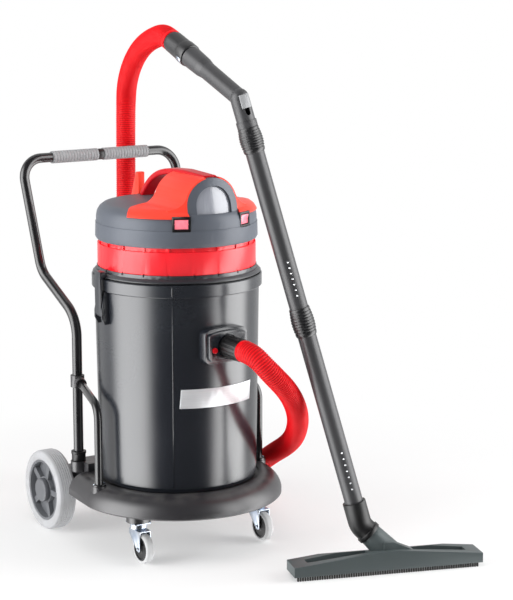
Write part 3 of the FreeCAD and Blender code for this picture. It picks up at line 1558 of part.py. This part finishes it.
write("base_moulding", make_base())
write("rear_axle", make_axle())
write("axle_caps", make_axle_caps())
write("caster_plates", make_caster_plates())
right_hub = make_wheel_hub()
right_tyre = make_wheel_tyre()
for side_name, side in (("left", -1), ("right", 1)):
    write("rear_wheel_hub_" + side_name, right_hub if side > 0 else mirrored(right_hub))
    write("rear_wheel_tyre_" + side_name, right_tyre if side > 0 else mirrored(right_tyre))
    write("caster_fork_" + side_name, make_caster_fork(side * caster_x))
    write("caster_hub_" + side_name, make_caster_hub(side * caster_x))
    write("caster_tyre_" + side_name, make_caster_tyre(side * caster_x))
write("push_handle_tube", make_push_handle())
write("handle_grips", make_grips())
write("grip_spacer", make_grip_spacer())
write("handle_sockets", make_sockets())
write("side_stays", both_sides(make_stay()))
write("stay_screws", make_stay_screws())
write("stay_clamps", make_stay_clamps())

write("tank", make_tank())
write("clasp_brackets", make_clasp_brackets())
write("clasp_right", make_clasp())
write("clasp_left", mirrored(make_clasp()))
write("inlet_bezel", make_bezel())
write("inlet_spigot", make_spigot())
write("inlet_deflector", make_deflector())
write("inlet_release_button", make_button())
write("label_plate", make_label_plate())

write("head_gasket", make_gasket())
write("head_ring", make_head_ring())
write("head_band", make_band())
write("head_dome", make_dome())
write("hood_panel", make_panel())
write("cover_left", make_cover())
write("cover_right", mirrored(make_cover()))
write("head_screws", make_head_screws())
write("carrying_handle", make_carrying_handle())
write("cable_hook", make_cable_hook())
write("cable_gland", make_cable_gland())
write("switch_frames", make_switch_frames())
write("rocker_left", make_rocker(-1))
write("rocker_right", make_rocker(1))
write("motor_plate", make_motor_plate())
write("blower_right", make_motor())
write("blower_left", mirrored(make_motor()))
write("float_cage", make_cage())
write("float_ball", make_ball())

write("inlet_cuff", make_inlet_cuff())
write("hose", make_hose())
write("handle_cuff", make_handle_cuff())
write("handle_tube", make_handle_tube())
write("air_slider", make_air_slider())
write("wand_upper_tube", make_upper_tube())
write("wand_lower_tube", make_lower_tube())
write("wand_sleeves", [make_sleeve(lower_sleeve_start, lower_sleeve_end),
                       make_sleeve(upper_sleeve_start, upper_sleeve_end)])
write("nozzle_elbow", make_elbow())
write("nozzle_body", make_nozzle_body())
write("nozzle_strips", make_strips())
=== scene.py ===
import json
import math

import bmesh
import bpy
from mathutils import Matrix, Vector


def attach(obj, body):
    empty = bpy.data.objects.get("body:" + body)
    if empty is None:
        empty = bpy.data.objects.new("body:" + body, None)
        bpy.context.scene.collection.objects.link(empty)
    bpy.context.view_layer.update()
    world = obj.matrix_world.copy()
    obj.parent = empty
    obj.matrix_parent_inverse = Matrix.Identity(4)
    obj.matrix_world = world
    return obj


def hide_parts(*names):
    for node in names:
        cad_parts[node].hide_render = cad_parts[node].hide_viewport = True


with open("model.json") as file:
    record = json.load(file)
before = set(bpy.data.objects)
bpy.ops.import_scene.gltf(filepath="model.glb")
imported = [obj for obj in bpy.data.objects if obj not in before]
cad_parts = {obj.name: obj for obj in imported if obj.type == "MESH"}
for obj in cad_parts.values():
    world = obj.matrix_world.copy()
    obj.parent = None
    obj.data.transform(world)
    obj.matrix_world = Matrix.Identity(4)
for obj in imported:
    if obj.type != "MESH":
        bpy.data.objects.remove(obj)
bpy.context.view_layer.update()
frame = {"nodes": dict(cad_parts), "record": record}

# Camera: a long lens at the photograph's place, level with the head of the machine
# and looking a little down on it from the left of its front.

camera_data = bpy.data.cameras.new("camera")
camera_data.sensor_fit = "VERTICAL"
camera_data.sensor_height = 24.0
camera_data.lens = 80.0
camera_data.clip_end = 60.0
camera = bpy.data.objects.new("camera", camera_data)
camera.location = (-2.458, -4.209, 1.535)
camera.rotation_euler = (math.radians(90 - 10.70), 0.0, math.radians(-32.6))
scene = bpy.context.scene
scene.collection.objects.link(camera)
scene.camera = camera
scene.view_settings.view_transform = "Standard"

# Studio: a pale floor that runs out into white, a broad soft lamp on each side and a weaker one
# above. Shiny surfaces see a tall soft panel on each side, with pale paper behind the machine and
# the dark of the room behind the camera. The floor is matte; to glossy rays it shows a painted
# reflection of the same panels, glowing where a polished floor would mirror them.


class Value:
    """A shader output that takes part in Python arithmetic."""

    def __init__(self, work, socket):
        self.work = work
        self.socket = socket

    def maths(self, operation, *values):
        return self.work.node("ShaderNodeMath", {"operation": operation}, values)

    def __add__(self, other):
        return self.maths("ADD", self, other)

    def __sub__(self, other):
        return self.maths("SUBTRACT", self, other)

    def __rsub__(self, other):
        return self.maths("SUBTRACT", other, self)

    def __mul__(self, other):
        return self.maths("MULTIPLY", self, other)

    def within(self, low, high):
        """0 below low, 1 above high, smooth between them."""
        return self.work.node("ShaderNodeMapRange", {"interpolation_type": "SMOOTHSTEP"},
                              {"Value": self, "From Min": low, "From Max": high})

    __radd__ = __add__
    __rmul__ = __mul__


class Nodes:
    """The nodes of one material, or of the surround."""

    def __init__(self, tree):
        self.tree = tree

    def put(self, node, socket, value):
        target = node.inputs[socket]
        if isinstance(value, Value):
            self.tree.links.new(value.socket, target)
        elif isinstance(value, tuple) and len(value) == 3 and target.type == "RGBA":
            target.default_value = (*value, 1.0)
        else:
            target.default_value = value

    def node(self, kind, settings=None, values=(), output=0):
        node = self.tree.nodes.new(kind)
        for key, value in (settings or {}).items():
            setattr(node, key, value)
        pairs = values.items() if isinstance(values, dict) else enumerate(values)
        for socket, value in pairs:
            self.put(node, socket, value)
        return Value(self, node.outputs[output])

    def mix(self, share, first, second):
        return self.node("ShaderNodeMix", {"data_type": "RGBA"}, {0: share, 6: first, 7: second}, output=2)


class Finish(Nodes):
    """One material: a Principled shader with nodes added for what changes over its surface."""

    def __init__(self, name, **constants):
        self.material = bpy.data.materials.new(name)
        self.material.use_nodes = True
        super().__init__(self.material.node_tree)
        self.shader = self.tree.nodes["Principled BSDF"]
        for socket, value in constants.items():
            self.put(self.shader, socket.replace("_", " "), value)

    def give(self, socket, value):
        self.put(self.shader, socket, value)

    def place(self):
        return self.node("ShaderNodeTexCoord", output="Object")

    def noise(self, scale, detail=2.0, where=None):
        return self.node("ShaderNodeTexNoise",
                         values={"Vector": where or self.place(), "Scale": scale, "Detail": detail})

    def bump(self, height, strength, distance):
        values = {"Height": height, "Strength": strength, "Distance": distance}
        self.give("Normal", self.node("ShaderNodeBump", values=values))


left_panel = (-0.984, 0.179, 0.0)
right_panel = (0.785, -0.619, 0.0)
behind = (0.504, 0.864, 0.0)
panel_strength = 5.5
paper_strength = 0.75
room_strength = 0.03


def studio_in_mirror(work, way):
    """What a shiny surface sees that way: a tall panel on each side, pale paper behind."""
    flat = work.node("ShaderNodeVectorMath", {"operation": "MULTIPLY"}, [way, (1.0, 1.0, 0.0)])
    flat = work.node("ShaderNodeVectorMath", {"operation": "NORMALIZE"}, [flat])
    height = work.node("ShaderNodeSeparateXYZ", values=[way], output="Z")

    def towards(place):
        return work.node("ShaderNodeVectorMath", {"operation": "DOT_PRODUCT"}, [flat, place], output="Value")

    panels = towards(left_panel).within(0.78, 0.98) + towards(right_panel).within(0.80, 0.96)
    paper = towards(behind).within(0.0, 0.6) * paper_strength
    return panels * (1 - height.within(0.45, 0.85)) * panel_strength + paper + room_strength


world = bpy.data.worlds.new("surround")
scene.world = world
world.use_nodes = True
surround = Nodes(world.node_tree)
seen = surround.node("ShaderNodeLightPath", output="Is Camera Ray")
seen = seen + surround.node("ShaderNodeLightPath", output="Is Transmission Ray")
mirrored = surround.node("ShaderNodeLightPath", output="Is Glossy Ray")
heading = surround.node("ShaderNodeTexCoord", output="Generated")
level = seen + mirrored * studio_in_mirror(surround, heading) + (1 - seen - mirrored) * 0.45
surround.put(world.node_tree.nodes["Background"], "Color", (1.0, 1.0, 1.0))
surround.put(world.node_tree.nodes["Background"], "Strength", level)


def softbox(name, place, width, height, power):
    """A soft lamp turned to the middle of the machine. Mirrors see the tall panels instead."""
    data = bpy.data.lights.new(name, "AREA")
    data.shape = "RECTANGLE"
    data.size = width
    data.size_y = height
    data.energy = power
    lamp = bpy.data.objects.new(name, data)
    lamp.location = place
    lamp.rotation_euler = (Vector((0.0, 0.0, 0.6)) - Vector(place)).to_track_quat("-Z", "Y").to_euler()
    lamp.visible_glossy = False
    scene.collection.objects.link(lamp)


softbox("lamp_left", (-2.98, 0.31, 1.3), 1.9, 2.4, 78.0)
softbox("lamp_right", (2.52, -1.63, 1.3), 1.9, 2.4, 78.0)
softbox("lamp_above", (-0.4, -0.8, 3.6), 2.6, 2.6, 34.0)

floor_mesh = bpy.data.meshes.new("floor")
floor_shape = bmesh.new()
bmesh.ops.create_circle(floor_shape, cap_ends=True, segments=96, radius=14.0)
floor_shape.to_mesh(floor_mesh)
floor_shape.free()
floor = bpy.data.objects.new("floor", floor_mesh)
scene.collection.objects.link(floor)


def srgb(r, g, b):
    """Linear colour of a screen colour given from 0 to 255."""
    return tuple(((c / 255 + 0.055) / 1.055) ** 2.4 if c > 10 else c / 255 / 12.92 for c in (r, g, b))


floor_paper = Finish("floor_paper", Base_Color=(0.95, 0.95, 0.95), Roughness=0.6, Specular_IOR_Level=0.0)
spread = floor_paper.node("ShaderNodeVectorMath", {"operation": "LENGTH"}, [floor_paper.place()],
                          output="Value")
white = floor_paper.node("ShaderNodeEmission", values={"Color": (1.0, 1.0, 1.0), "Strength": 1.0})
paper = Value(floor_paper, floor_paper.shader.outputs[0])
shown = floor_paper.node("ShaderNodeMixShader", values=[spread.within(0.7, 1.5) * 0.62 + 0.38, paper, white])
# Painted reflection: to glossy rays the matte floor glows with the side panels, as a polished floor would
# mirror them.
incoming = floor_paper.node("ShaderNodeNewGeometry", output="Incoming")
onward = floor_paper.node("ShaderNodeVectorMath", {"operation": "SCALE"}, {0: incoming, "Scale": -1.0})
glimpse = studio_in_mirror(floor_paper, onward)
painted_panel_reflection = floor_paper.node("ShaderNodeEmission", values={"Color": (1.0, 1.0, 1.0), "Strength": glimpse})
mirrored = floor_paper.node("ShaderNodeLightPath", output="Is Glossy Ray")
shown = floor_paper.node("ShaderNodeMixShader", values=[mirrored, shown, painted_panel_reflection])
floor_paper.put(floor_paper.tree.nodes["Material Output"], "Surface", shown)
floor_mesh.materials.append(floor_paper.material)

# Base moulding: the thick black bumper dish that the tank stands in, with its rear deck.
# Rotational-moulded plastic with a fine grain, dusty where it faces up; the plastic collars
# and tee clamps of the tubes are the same dark material.

body_of = {node: body for body, members in frame["record"]["behaviour"]["bodies"].items() for node in members}


def publish(shape, name, node, finish, takes_place=False):
    """Turns a bmesh into a smooth piece that rides with a node's body and wears the given finish."""
    mesh = bpy.data.meshes.new(name)
    shape.to_mesh(mesh)
    shape.free()
    for polygon in mesh.polygons:
        polygon.use_smooth = True
    piece = bpy.data.objects.new(name, mesh)
    scene.collection.objects.link(piece)
    mesh.materials.append(finish.material)
    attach(piece, body_of[node])
    if takes_place:
        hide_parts(node)
    return piece


def copied(node):
    """A merged bmesh copy of a node, its flat areas joined into single faces."""
    shape = bmesh.new()
    shape.from_mesh(frame["nodes"][node].data)
    bmesh.ops.remove_doubles(shape, verts=shape.verts, dist=0.000005)
    bmesh.ops.dissolve_limit(shape, angle_limit=math.radians(0.6), verts=shape.verts, edges=shape.edges)
    return shape


def soften(piece, width, segments=2, angle=32):
    """Rounds every sharp edge of a piece."""
    edge = piece.modifiers.new("edges", "BEVEL")
    edge.limit_method = "ANGLE"
    edge.angle_limit = math.radians(angle)
    edge.width = width
    edge.segments = segments
    edge.harden_normals = True
    return piece


def moulded(node, finish, width=0.0012, segments=2, angle=32):
    """The node's own shape with rounded edges, standing in for it."""
    piece = publish(copied(node), node + "_moulded", node, finish, takes_place=True)
    return soften(piece, width, segments, angle)


def grained(name, colour, worn, roughness, grain=900.0, depth=0.00006, dust=0.0, coat=0.0, shine=0.5):
    """Moulded plastic: slow colour drift, fine grain in the bump, dust that lies on top."""
    finish = Finish(name, Coat_Weight=coat, Coat_Roughness=0.12, Specular_IOR_Level=shine)
    drift = finish.noise(3.0, 3.0).within(0.3, 0.7)
    speck = finish.noise(grain, 1.0)
    tone = finish.mix(drift * 0.55 + speck * 0.2, colour, worn)
    if dust:
        up = finish.node("ShaderNodeNewGeometry", output="Normal")
        facing = finish.node("ShaderNodeSeparateXYZ", values=[up], output="Z").within(0.55, 1.0)
        settled = facing * finish.noise(28.0, 4.0).within(0.35, 0.75) * dust
        tone = finish.mix(settled, tone, (0.36, 0.35, 0.33))
        finish.give("Roughness", settled * 0.4 + (drift * 0.08 + roughness))
    else:
        finish.give("Roughness", drift * 0.08 + speck * 0.04 + roughness)
    finish.give("Base Color", tone)
    finish.bump(speck, 0.35, depth)
    return finish


base_plastic = grained("base_plastic", srgb(36, 35, 38), srgb(48, 47, 50), 0.34, dust=0.12, shine=0.9)
moulded("base_moulding", base_plastic, 0.004, 3)
moulded("stay_clamps", base_plastic, 0.0015)

# Rear wheels: pale solid tyres with five tread grooves on grey spoked hubs, held on a
# zinc-plated axle by round caps. The tyres are the marks-free kind, a little grubby on the tread.


def rubbered(name, colour, grubby, roughness):
    """Pale tyre rubber, darker where it has rolled."""
    finish = Finish(name)
    blotch = finish.noise(22.0, 5.0).within(0.35, 0.72)
    fine = finish.noise(700.0, 1.0)
    finish.give("Base Color", finish.mix(blotch * 0.35 + fine * 0.12, colour, grubby))
    finish.give("Roughness", blotch * 0.1 + roughness)
    finish.bump(fine, 0.3, 0.00008)
    return finish


pale_tyre = rubbered("pale_tyre", srgb(186, 187, 190), srgb(160, 160, 160), 0.55)
hub_plastic = grained("hub_plastic", srgb(92, 94, 98), srgb(106, 108, 112), 0.36)
for side in ("left", "right"):
    moulded("rear_wheel_tyre_" + side, pale_tyre, 0.0008)
    moulded("rear_wheel_hub_" + side, hub_plastic, 0.0014)
moulded("axle_caps", hub_plastic, 0.0012)


def plated(name, colour, streak, roughness):
    """Zinc-plated steel, with a faint blue drift and fine rolling marks."""
    finish = Finish(name, Metallic=1.0)
    cloud = finish.noise(40.0, 4.0)
    marks = finish.noise(260.0, 2.0)
    finish.give("Base Color", finish.mix(cloud.within(0.3, 0.7), colour, streak))
    finish.give("Roughness", marks * 0.16 + cloud * 0.08 + roughness)
    finish.bump(marks, 0.2, 0.00005)
    return finish


zinc = plated("zinc_plate", srgb(196, 202, 210), srgb(160, 172, 190), 0.2)


def dress(node, finish):
    """Gives a node that keeps its own shape its material."""
    for holder in frame["nodes"][node].material_slots:
        holder.material = finish.material


dress("rear_axle", zinc)

# Casters: bent zinc-plated forks under square plates, with black hubs and pale tyres.
# The fork's stem turns in the plate, and the wheel turns on a bolt through its legs.

black_plastic = grained("black_plastic", srgb(14, 14, 15), srgb(26, 26, 27), 0.36)
caster_rubber = rubbered("caster_rubber", srgb(214, 215, 216), srgb(188, 188, 187), 0.5)
moulded("caster_plates", zinc, 0.0006)
for side in ("left", "right"):
    moulded("caster_fork_" + side, zinc, 0.0008)
    moulded("caster_hub_" + side, black_plastic, 0.0010)
    moulded("caster_tyre_" + side, caster_rubber, 0.0015, 3)

# Push handle and side stays: bent steel tube in glossy black powder paint, with a dark
# spacer and two ribbed grey grips on the crossbar. The stays screw to the base.


def painted(name, colour, worn, roughness):
    """Glossy powder paint with a slight orange peel."""
    finish = Finish(name, Coat_Weight=0.6, Coat_Roughness=0.08)
    peel = finish.noise(180.0, 2.0)
    drift = finish.noise(6.0, 3.0).within(0.35, 0.7)
    finish.give("Base Color", finish.mix(drift, colour, worn))
    finish.give("Roughness", drift * 0.08 + roughness)
    finish.bump(peel, 0.25, 0.0001)
    return finish


black_paint = painted("black_paint", srgb(22, 22, 24), srgb(34, 34, 36), 0.26)
moulded("handle_sockets", black_plastic, 0.0012)
dress("push_handle_tube", black_paint)
moulded("side_stays", black_paint, 0.0008)
moulded("stay_screws", zinc, 0.0005)
grip_plastic = grained("grip_plastic", srgb(150, 152, 154), srgb(168, 169, 171), 0.5)
moulded("handle_grips", grip_plastic, 0.0004, 2)
moulded("grip_spacer", black_plastic, 0.0006)

# Tank: one tall dark grey plastic drum, smooth enough to mirror the studio's panels, with a
# stout rolled rim. The clasp brackets with their pins, the clasp levers and the inlet
# surround are moulded from the same plastic.

tank_plastic = grained("tank_plastic", srgb(30, 33, 39), srgb(36, 39, 45), 0.20,
                       grain=600.0, depth=0.00003, shine=1.0)
dress("tank", tank_plastic)
moulded("clasp_brackets", tank_plastic, 0.0010)
for side in ("left", "right"):
    moulded("clasp_" + side, tank_plastic, 0.0015, 3)
moulded("inlet_bezel", tank_plastic, 0.0015, 3)
dress("inlet_spigot", tank_plastic)
dress("inlet_deflector", tank_plastic)

# Parting ridges: the fine seam that the tank's mould leaves down its front left and its rear
# right. It runs up the wall and over the rim, and belongs to the tank's own plastic.

ridge_turn = math.radians(33.6)
ridge_radius = 0.0011
wall_line = [(0.1962, 0.186), (0.2030, 0.656)]
rim_line = [(0.2102, 0.660), (0.2102, 0.686)]


def bar_between(shape, start, end, radius, segments=10):
    """Adds a round bar from one point to another."""
    along = end - start
    stance = Matrix.Translation((start + end) / 2) @ along.to_track_quat("Z", "Y").to_matrix().to_4x4()
    bmesh.ops.create_cone(shape, cap_ends=True, segments=segments, radius1=radius, radius2=radius,
                          depth=along.length, matrix=stance)


ridges = bmesh.new()
for turn in (ridge_turn, ridge_turn + math.pi):
    for ends in (wall_line, rim_line):
        low, high = (Vector((-r * math.sin(turn), -r * math.cos(turn), z)) for r, z in ends)
        bar_between(ridges, low, high, ridge_radius)
publish(ridges, "tank_ridges", "tank", tank_plastic)

# Label plate: a bare satin plate with slanted ends, bent round the tank.

label_face = Finish("label_face", Metallic=0.35)
brushed = label_face.node("ShaderNodeMapping", {"vector_type": "POINT"},
                          {"Vector": label_face.place(), "Scale": (8.0, 8.0, 900.0)})
lines = label_face.noise(1.0, 2.0, where=brushed)
label_face.give("Base Color", label_face.mix(lines, srgb(205, 207, 210), srgb(232, 233, 235)))
label_face.give("Roughness", lines * 0.15 + 0.3)
label_face.bump(lines, 0.15, 0.00003)
moulded("label_plate", label_face, 0.0004)

# Head ring and band: the dark ring that seats on the tank, and above it the glossy red band
# whose ribbed groove lets the cooling air out. Both are injection moulded.

ring_plastic = grained("ring_plastic", srgb(36, 38, 43), srgb(46, 48, 53), 0.28, shine=1.0)
moulded("head_ring", ring_plastic, 0.0008)
moulded("head_gasket", black_plastic, 0.0006)


def glossy(name, colour, deep, roughness, shine):
    """Through-coloured gloss plastic with faint flow marks."""
    finish = Finish(name, Specular_IOR_Level=shine)
    flow = finish.noise(5.0, 3.0).within(0.3, 0.7)
    fine = finish.noise(500.0, 1.0)
    finish.give("Base Color", finish.mix(flow * 0.7 + fine * 0.1, colour, deep))
    finish.give("Roughness", flow * 0.06 + roughness)
    finish.bump(fine, 0.15, 0.00003)
    return finish


band_red = glossy("band_red", srgb(255, 16, 36), srgb(240, 6, 28), 0.30, 0.8)
moulded("head_band", band_red, 0.0008)

# Dome: the blue-grey satin shell of the head with its arched hood, and the smooth panel
# let into the hood's front.

dome_plastic = grained("dome_plastic", srgb(82, 87, 96), srgb(92, 97, 106), 0.42, grain=800.0, dust=0.05)
moulded("head_dome", dome_plastic, 0.0035, 4)
panel_plastic = grained("panel_plastic", srgb(150, 153, 162), srgb(162, 165, 174), 0.2, coat=0.5, shine=0.8)
moulded("hood_panel", panel_plastic, 0.0012, 3)
dress("motor_plate", dome_plastic)
dress("float_cage", dome_plastic)
dress("float_ball", dome_plastic)
for side in ("left", "right"):
    dress("blower_" + side, zinc)

# Covers, cable hook and carrying handle: coral covers that sweep up the hood from both
# sides, held by a screw each, with a deep red handle as their spine.

coral = glossy("coral", srgb(255, 74, 54), srgb(248, 58, 42), 0.38, 0.35)
for side in ("left", "right"):
    moulded("cover_" + side, coral, 0.0016, 3)
moulded("cable_hook", coral, 0.0015, 3)
moulded("head_screws", black_plastic, 0.0004)
deep_red = glossy("deep_red", srgb(216, 6, 26), srgb(190, 2, 20), 0.34, 0.35)
moulded("carrying_handle", deep_red, 0.0020, 3)
moulded("inlet_release_button", deep_red, 0.0006)
moulded("cable_gland", black_plastic, 0.0010)

# Switches: two lit rockers, pink through their translucent red, in black frames.

moulded("switch_frames", black_plastic, 0.0010)
lit = Finish("switch_lit", Roughness=0.25, Coat_Weight=0.5, Coat_Roughness=0.05, Emission_Strength=0.35)
haze = lit.noise(90.0, 3.0)
lit.give("Base Color", lit.mix(haze, srgb(240, 96, 118), srgb(255, 150, 165)))
lit.give("Emission Color", lit.mix(haze, srgb(240, 90, 110), srgb(255, 150, 160)))
for side in ("left", "right"):
    moulded("rocker_" + side, lit, 0.0008)

# Hose: a red corrugated suction hose, blown from soft plastic, between the ribbed cuff at
# the tank and the two-step cuff of the handle. The grooves are darker by painted shade, and rougher.

hose_diameter = 0.053
groove_depth = 0.0022
groove_pitch = 0.0052
groove_profile = (0.0, 0.55, 1.0, 0.55)
plain_end = 6
inlet_turn = math.radians(2.0)
hose_route = [
    (0.294 * math.sin(inlet_turn), -0.294 * math.cos(inlet_turn), 0.537),
    (0.332 * math.sin(inlet_turn), -0.332 * math.cos(inlet_turn), 0.537),
    (0.040, -0.362, 0.495), (0.101, -0.357, 0.436), (0.160, -0.306, 0.362), (0.207, -0.222, 0.290),
    (0.255, -0.110, 0.232), (0.297, 0.020, 0.175), (0.318, 0.122, 0.120), (0.330, 0.225, 0.070),
    (0.315, 0.330, 0.040), (0.270, 0.420, 0.032), (0.210, 0.480, 0.050), (0.152, 0.490, 0.105),
    (0.122, 0.475, 0.190), (0.108, 0.458, 0.300), (0.104, 0.450, 0.450), (0.104, 0.446, 0.650),
    (0.105, 0.445, 0.850), (0.106, 0.445, 0.990), (0.105, 0.440, 1.070), (0.098, 0.422, 1.112),
    (0.0824, 0.376, 1.154), (0.061, 0.310, 1.1915), (0.037, 0.2336, 1.222), (0.014, 0.154, 1.2445),
    (-0.0055, 0.080, 1.259), (-0.018, 0.030, 1.266), (-0.0235, -0.0019, 1.2641), (-0.0215, -0.0219, 1.2551)]
hose_curve = bpy.data.curves.new("hose_line", "CURVE")
hose_curve.dimensions = "3D"
hose_curve.resolution_u = 48
spline = hose_curve.splines.new("NURBS")
spline.points.add(len(hose_route) - 1)
for point, place in zip(spline.points, hose_route):
    point.co = (*place, 1.0)
spline.order_u = 3
spline.use_endpoint_u = True
line_holder = bpy.data.objects.new("hose_line", hose_curve)
line_mesh = bpy.data.meshes.new_from_object(line_holder)
line = [v.co.copy() for v in line_mesh.vertices]
bpy.data.meshes.remove(line_mesh)
bpy.data.objects.remove(line_holder)
bpy.data.curves.remove(hose_curve)


def walk(points, step):
    """Places and directions every step along a line of points."""
    lengths = [0.0]
    for before, after in zip(points, points[1:]):
        lengths.append(lengths[-1] + (after - before).length)
    count = round(lengths[-1] / step)
    found = []
    index = 0
    for i in range(count + 1):
        at = lengths[-1] * i / count
        while index < len(points) - 2 and lengths[index + 1] < at:
            index += 1
        span = max(lengths[index + 1] - lengths[index], 1e-9)
        share = (at - lengths[index]) / span
        found.append(points[index].lerp(points[index + 1], share))
    ways = [(found[min(i + 1, count)] - found[max(i - 1, 0)]).normalized() for i in range(count + 1)]
    return found, ways, lengths[-1]


places, ways, hose_length = walk(line, groove_pitch / 4)
hose_shape = bmesh.new()
groove = hose_shape.verts.layers.float.new("groove")
crest = hose_diameter / 2
ring = bmesh.ops.create_circle(hose_shape, cap_ends=False, segments=32, radius=crest)["verts"]
stance = Matrix.Translation(places[0]) @ ways[0].to_track_quat("Z", "Y").to_matrix().to_4x4()
bmesh.ops.transform(hose_shape, matrix=stance, verts=ring)
rim = list(hose_shape.edges)
size = 1.0
for i in range(1, len(places)):
    sunk = groove_profile[i % 4] if plain_end < i < len(places) - plain_end else 0.0
    wanted = (crest - groove_depth * sunk) / crest
    made = bmesh.ops.extrude_edge_only(hose_shape, edges=rim)["geom"]
    ring = [g for g in made if isinstance(g, bmesh.types.BMVert)]
    fresh = set(ring)
    rim = [g for g in made
           if isinstance(g, bmesh.types.BMEdge) and g.verts[0] in fresh and g.verts[1] in fresh]
    bend = ways[i - 1].rotation_difference(ways[i]).to_matrix().to_4x4()
    move = (Matrix.Translation(places[i]) @ Matrix.Scale(wanted / size, 4) @ bend
            @ Matrix.Translation(-places[i - 1]))
    bmesh.ops.transform(hose_shape, matrix=move, verts=ring)
    for vert in ring:
        vert[groove] = sunk
    size = wanted
bmesh.ops.holes_fill(hose_shape, edges=[e for e in hose_shape.edges if e.is_boundary], sides=0)
bmesh.ops.recalc_face_normals(hose_shape, faces=hose_shape.faces)

hose_red = Finish("hose_red", Specular_IOR_Level=0.3)
depth = hose_red.node("ShaderNodeAttribute", {"attribute_name": "groove"}, output="Fac")
cloud = hose_red.noise(14.0, 3.0).within(0.3, 0.7)
lively = hose_red.mix(cloud * 0.5, srgb(246, 8, 22), srgb(230, 4, 16))
# Painted shade: the red darkens down in the grooves, following the groove attribute.
hose_red.give("Base Color", hose_red.mix(depth * 0.8, lively, srgb(150, 0, 8)))
hose_red.give("Roughness", depth * 0.2 + (cloud * 0.08 + 0.38))
hose = publish(hose_shape, "hose_tube", "hose", hose_red, takes_place=True)
moulded("inlet_cuff", black_plastic, 0.0008)
cuff_plastic = grained("cuff_plastic", srgb(24, 24, 26), srgb(34, 34, 36), 0.3, shine=0.7)
moulded("handle_cuff", cuff_plastic, 0.0014, 3)

# Cuff clip: a small bright metal tongue let into the end of the handle's cuff, which holds it
# on the handle tube. It bends round the cuff and turns with it.

wand_foot = Vector((0.2458, -0.4397, 0.1206))
wand_bend = Vector((0.0045, -0.2853, 1.1356))
hose_end = Vector(hose_route[-1])
clip_start = 0.211
clip_length = 0.016
clip_radius = 0.0287
clip_arc = math.radians(34)
handle_way = (hose_end - wand_bend).normalized()
clip_side = Vector((-0.62, -0.5, -0.6))
clip_side = (clip_side - handle_way * clip_side.dot(handle_way)).normalized()
clip = bmesh.new()
ends = [clip.verts.new(wand_bend + handle_way * at + clip_side * clip_radius)
        for at in (clip_start, clip_start + clip_length)]
clip.edges.new(ends)
begin = Matrix.Rotation(-clip_arc / 2, 3, handle_way)
bmesh.ops.rotate(clip, cent=wand_bend, matrix=begin, verts=clip.verts)
bmesh.ops.spin(clip, geom=list(clip.verts) + list(clip.edges), cent=wand_bend, axis=handle_way,
               dvec=(0, 0, 0), angle=clip_arc, steps=8, use_duplicate=False)
bmesh.ops.recalc_face_normals(clip, faces=clip.faces)
clip_piece = publish(clip, "cuff_clip", "handle_cuff", zinc)
skin = clip_piece.modifiers.new("skin", "SOLIDIFY")
skin.thickness = 0.0012
skin.offset = 0.0

# Handle tube and wand: charcoal plastic tubes, satin, joined by ribbed sleeves, with a grey
# thumb slider over the bleed hole of the handle.

wand_plastic = grained("wand_plastic", srgb(54, 54, 56), srgb(64, 64, 66), 0.34, shine=0.6)
for node in ("handle_tube", "wand_upper_tube", "wand_lower_tube"):
    dress(node, wand_plastic)
moulded("wand_sleeves", cuff_plastic, 0.0005)
slider_grey = grained("slider_grey", srgb(150, 152, 154), srgb(170, 171, 173), 0.45)
moulded("air_slider", slider_grey, 0.0008)

# Tube studs: a row of seven bright round studs low on each wand tube, pressed into the wall
# on the side that faces the user's front.

stud_count = 7
stud_radius = 0.0023
wand_radius = 0.0224
wand_way = (wand_bend - wand_foot).normalized()
stud_side = Vector((-0.36, -0.93, 0.06))
stud_side = (stud_side - wand_way * stud_side.dot(wand_way)).normalized()
stud_rows = {"wand_lower_tube": (0.085, 0.178), "wand_upper_tube": (0.574, 0.656)}
stud_metal = plated("stud_metal", srgb(236, 238, 240), srgb(216, 219, 222), 0.3)
for node, (first, last) in stud_rows.items():
    studs = bmesh.new()
    for i in range(stud_count):
        along = first + (last - first) * i / (stud_count - 1)
        middle = wand_foot + wand_way * along + stud_side * wand_radius
        bmesh.ops.create_icosphere(studs, subdivisions=2, radius=stud_radius,
                                   matrix=Matrix.Translation(middle))
    publish(studs, node + "_studs", node, stud_metal)

# Floor nozzle: a wide wedge-shaped grey-green shell on a swivel elbow, with a brush strip
# and a rubber strip under it.

nozzle_plastic = grained("nozzle_plastic", srgb(72, 80, 81), srgb(84, 92, 93), 0.38)
moulded("nozzle_body", nozzle_plastic, 0.0030, 3)
moulded("nozzle_elbow", black_plastic, 0.0015)
strip_rubber = grained("strip_rubber", srgb(20, 20, 20), srgb(34, 33, 32), 0.6)

# Nozzle strips: a brush in front, its tufts set side by side in a bar, and a plain rubber lip
# behind. Both slide into grooves under the shell.

strip_half = 0.229
strip_thickness = 0.005
strip_top = 0.0195
brush_y = -0.0285
lip_y = 0.0285
tuft_count = 76
tuft_height = 0.0125
nozzle_place = Matrix.Translation((0.291, -0.487, 0.0)) @ Matrix.Rotation(math.radians(-17.8), 4, "Z")


def slab(shape, x0, x1, y, z0, z1, thickness):
    """Adds an upright slab that lies along the nozzle."""
    size = Matrix.Diagonal((x1 - x0, thickness, z1 - z0, 1.0))
    middle = Matrix.Translation(((x0 + x1) / 2, y, (z0 + z1) / 2))
    bmesh.ops.create_cube(shape, size=1.0, matrix=nozzle_place @ middle @ size)


strips = bmesh.new()
slab(strips, -strip_half, strip_half, brush_y, tuft_height - 0.002, strip_top, strip_thickness)
slab(strips, -strip_half, strip_half, lip_y, 0.0, strip_top, strip_thickness)
tuft_pitch = 2 * strip_half / tuft_count
tuft_width = tuft_pitch * 0.72
tuft_depth = strip_thickness * 0.9
for i in range(tuft_count):
    start = tuft_pitch * i - strip_half
    slab(strips, start, start + tuft_width, brush_y, 0.0, tuft_height, tuft_depth)
soften(publish(strips, "nozzle_brush", "nozzle_strips", strip_rubber, takes_place=True), 0.0004)
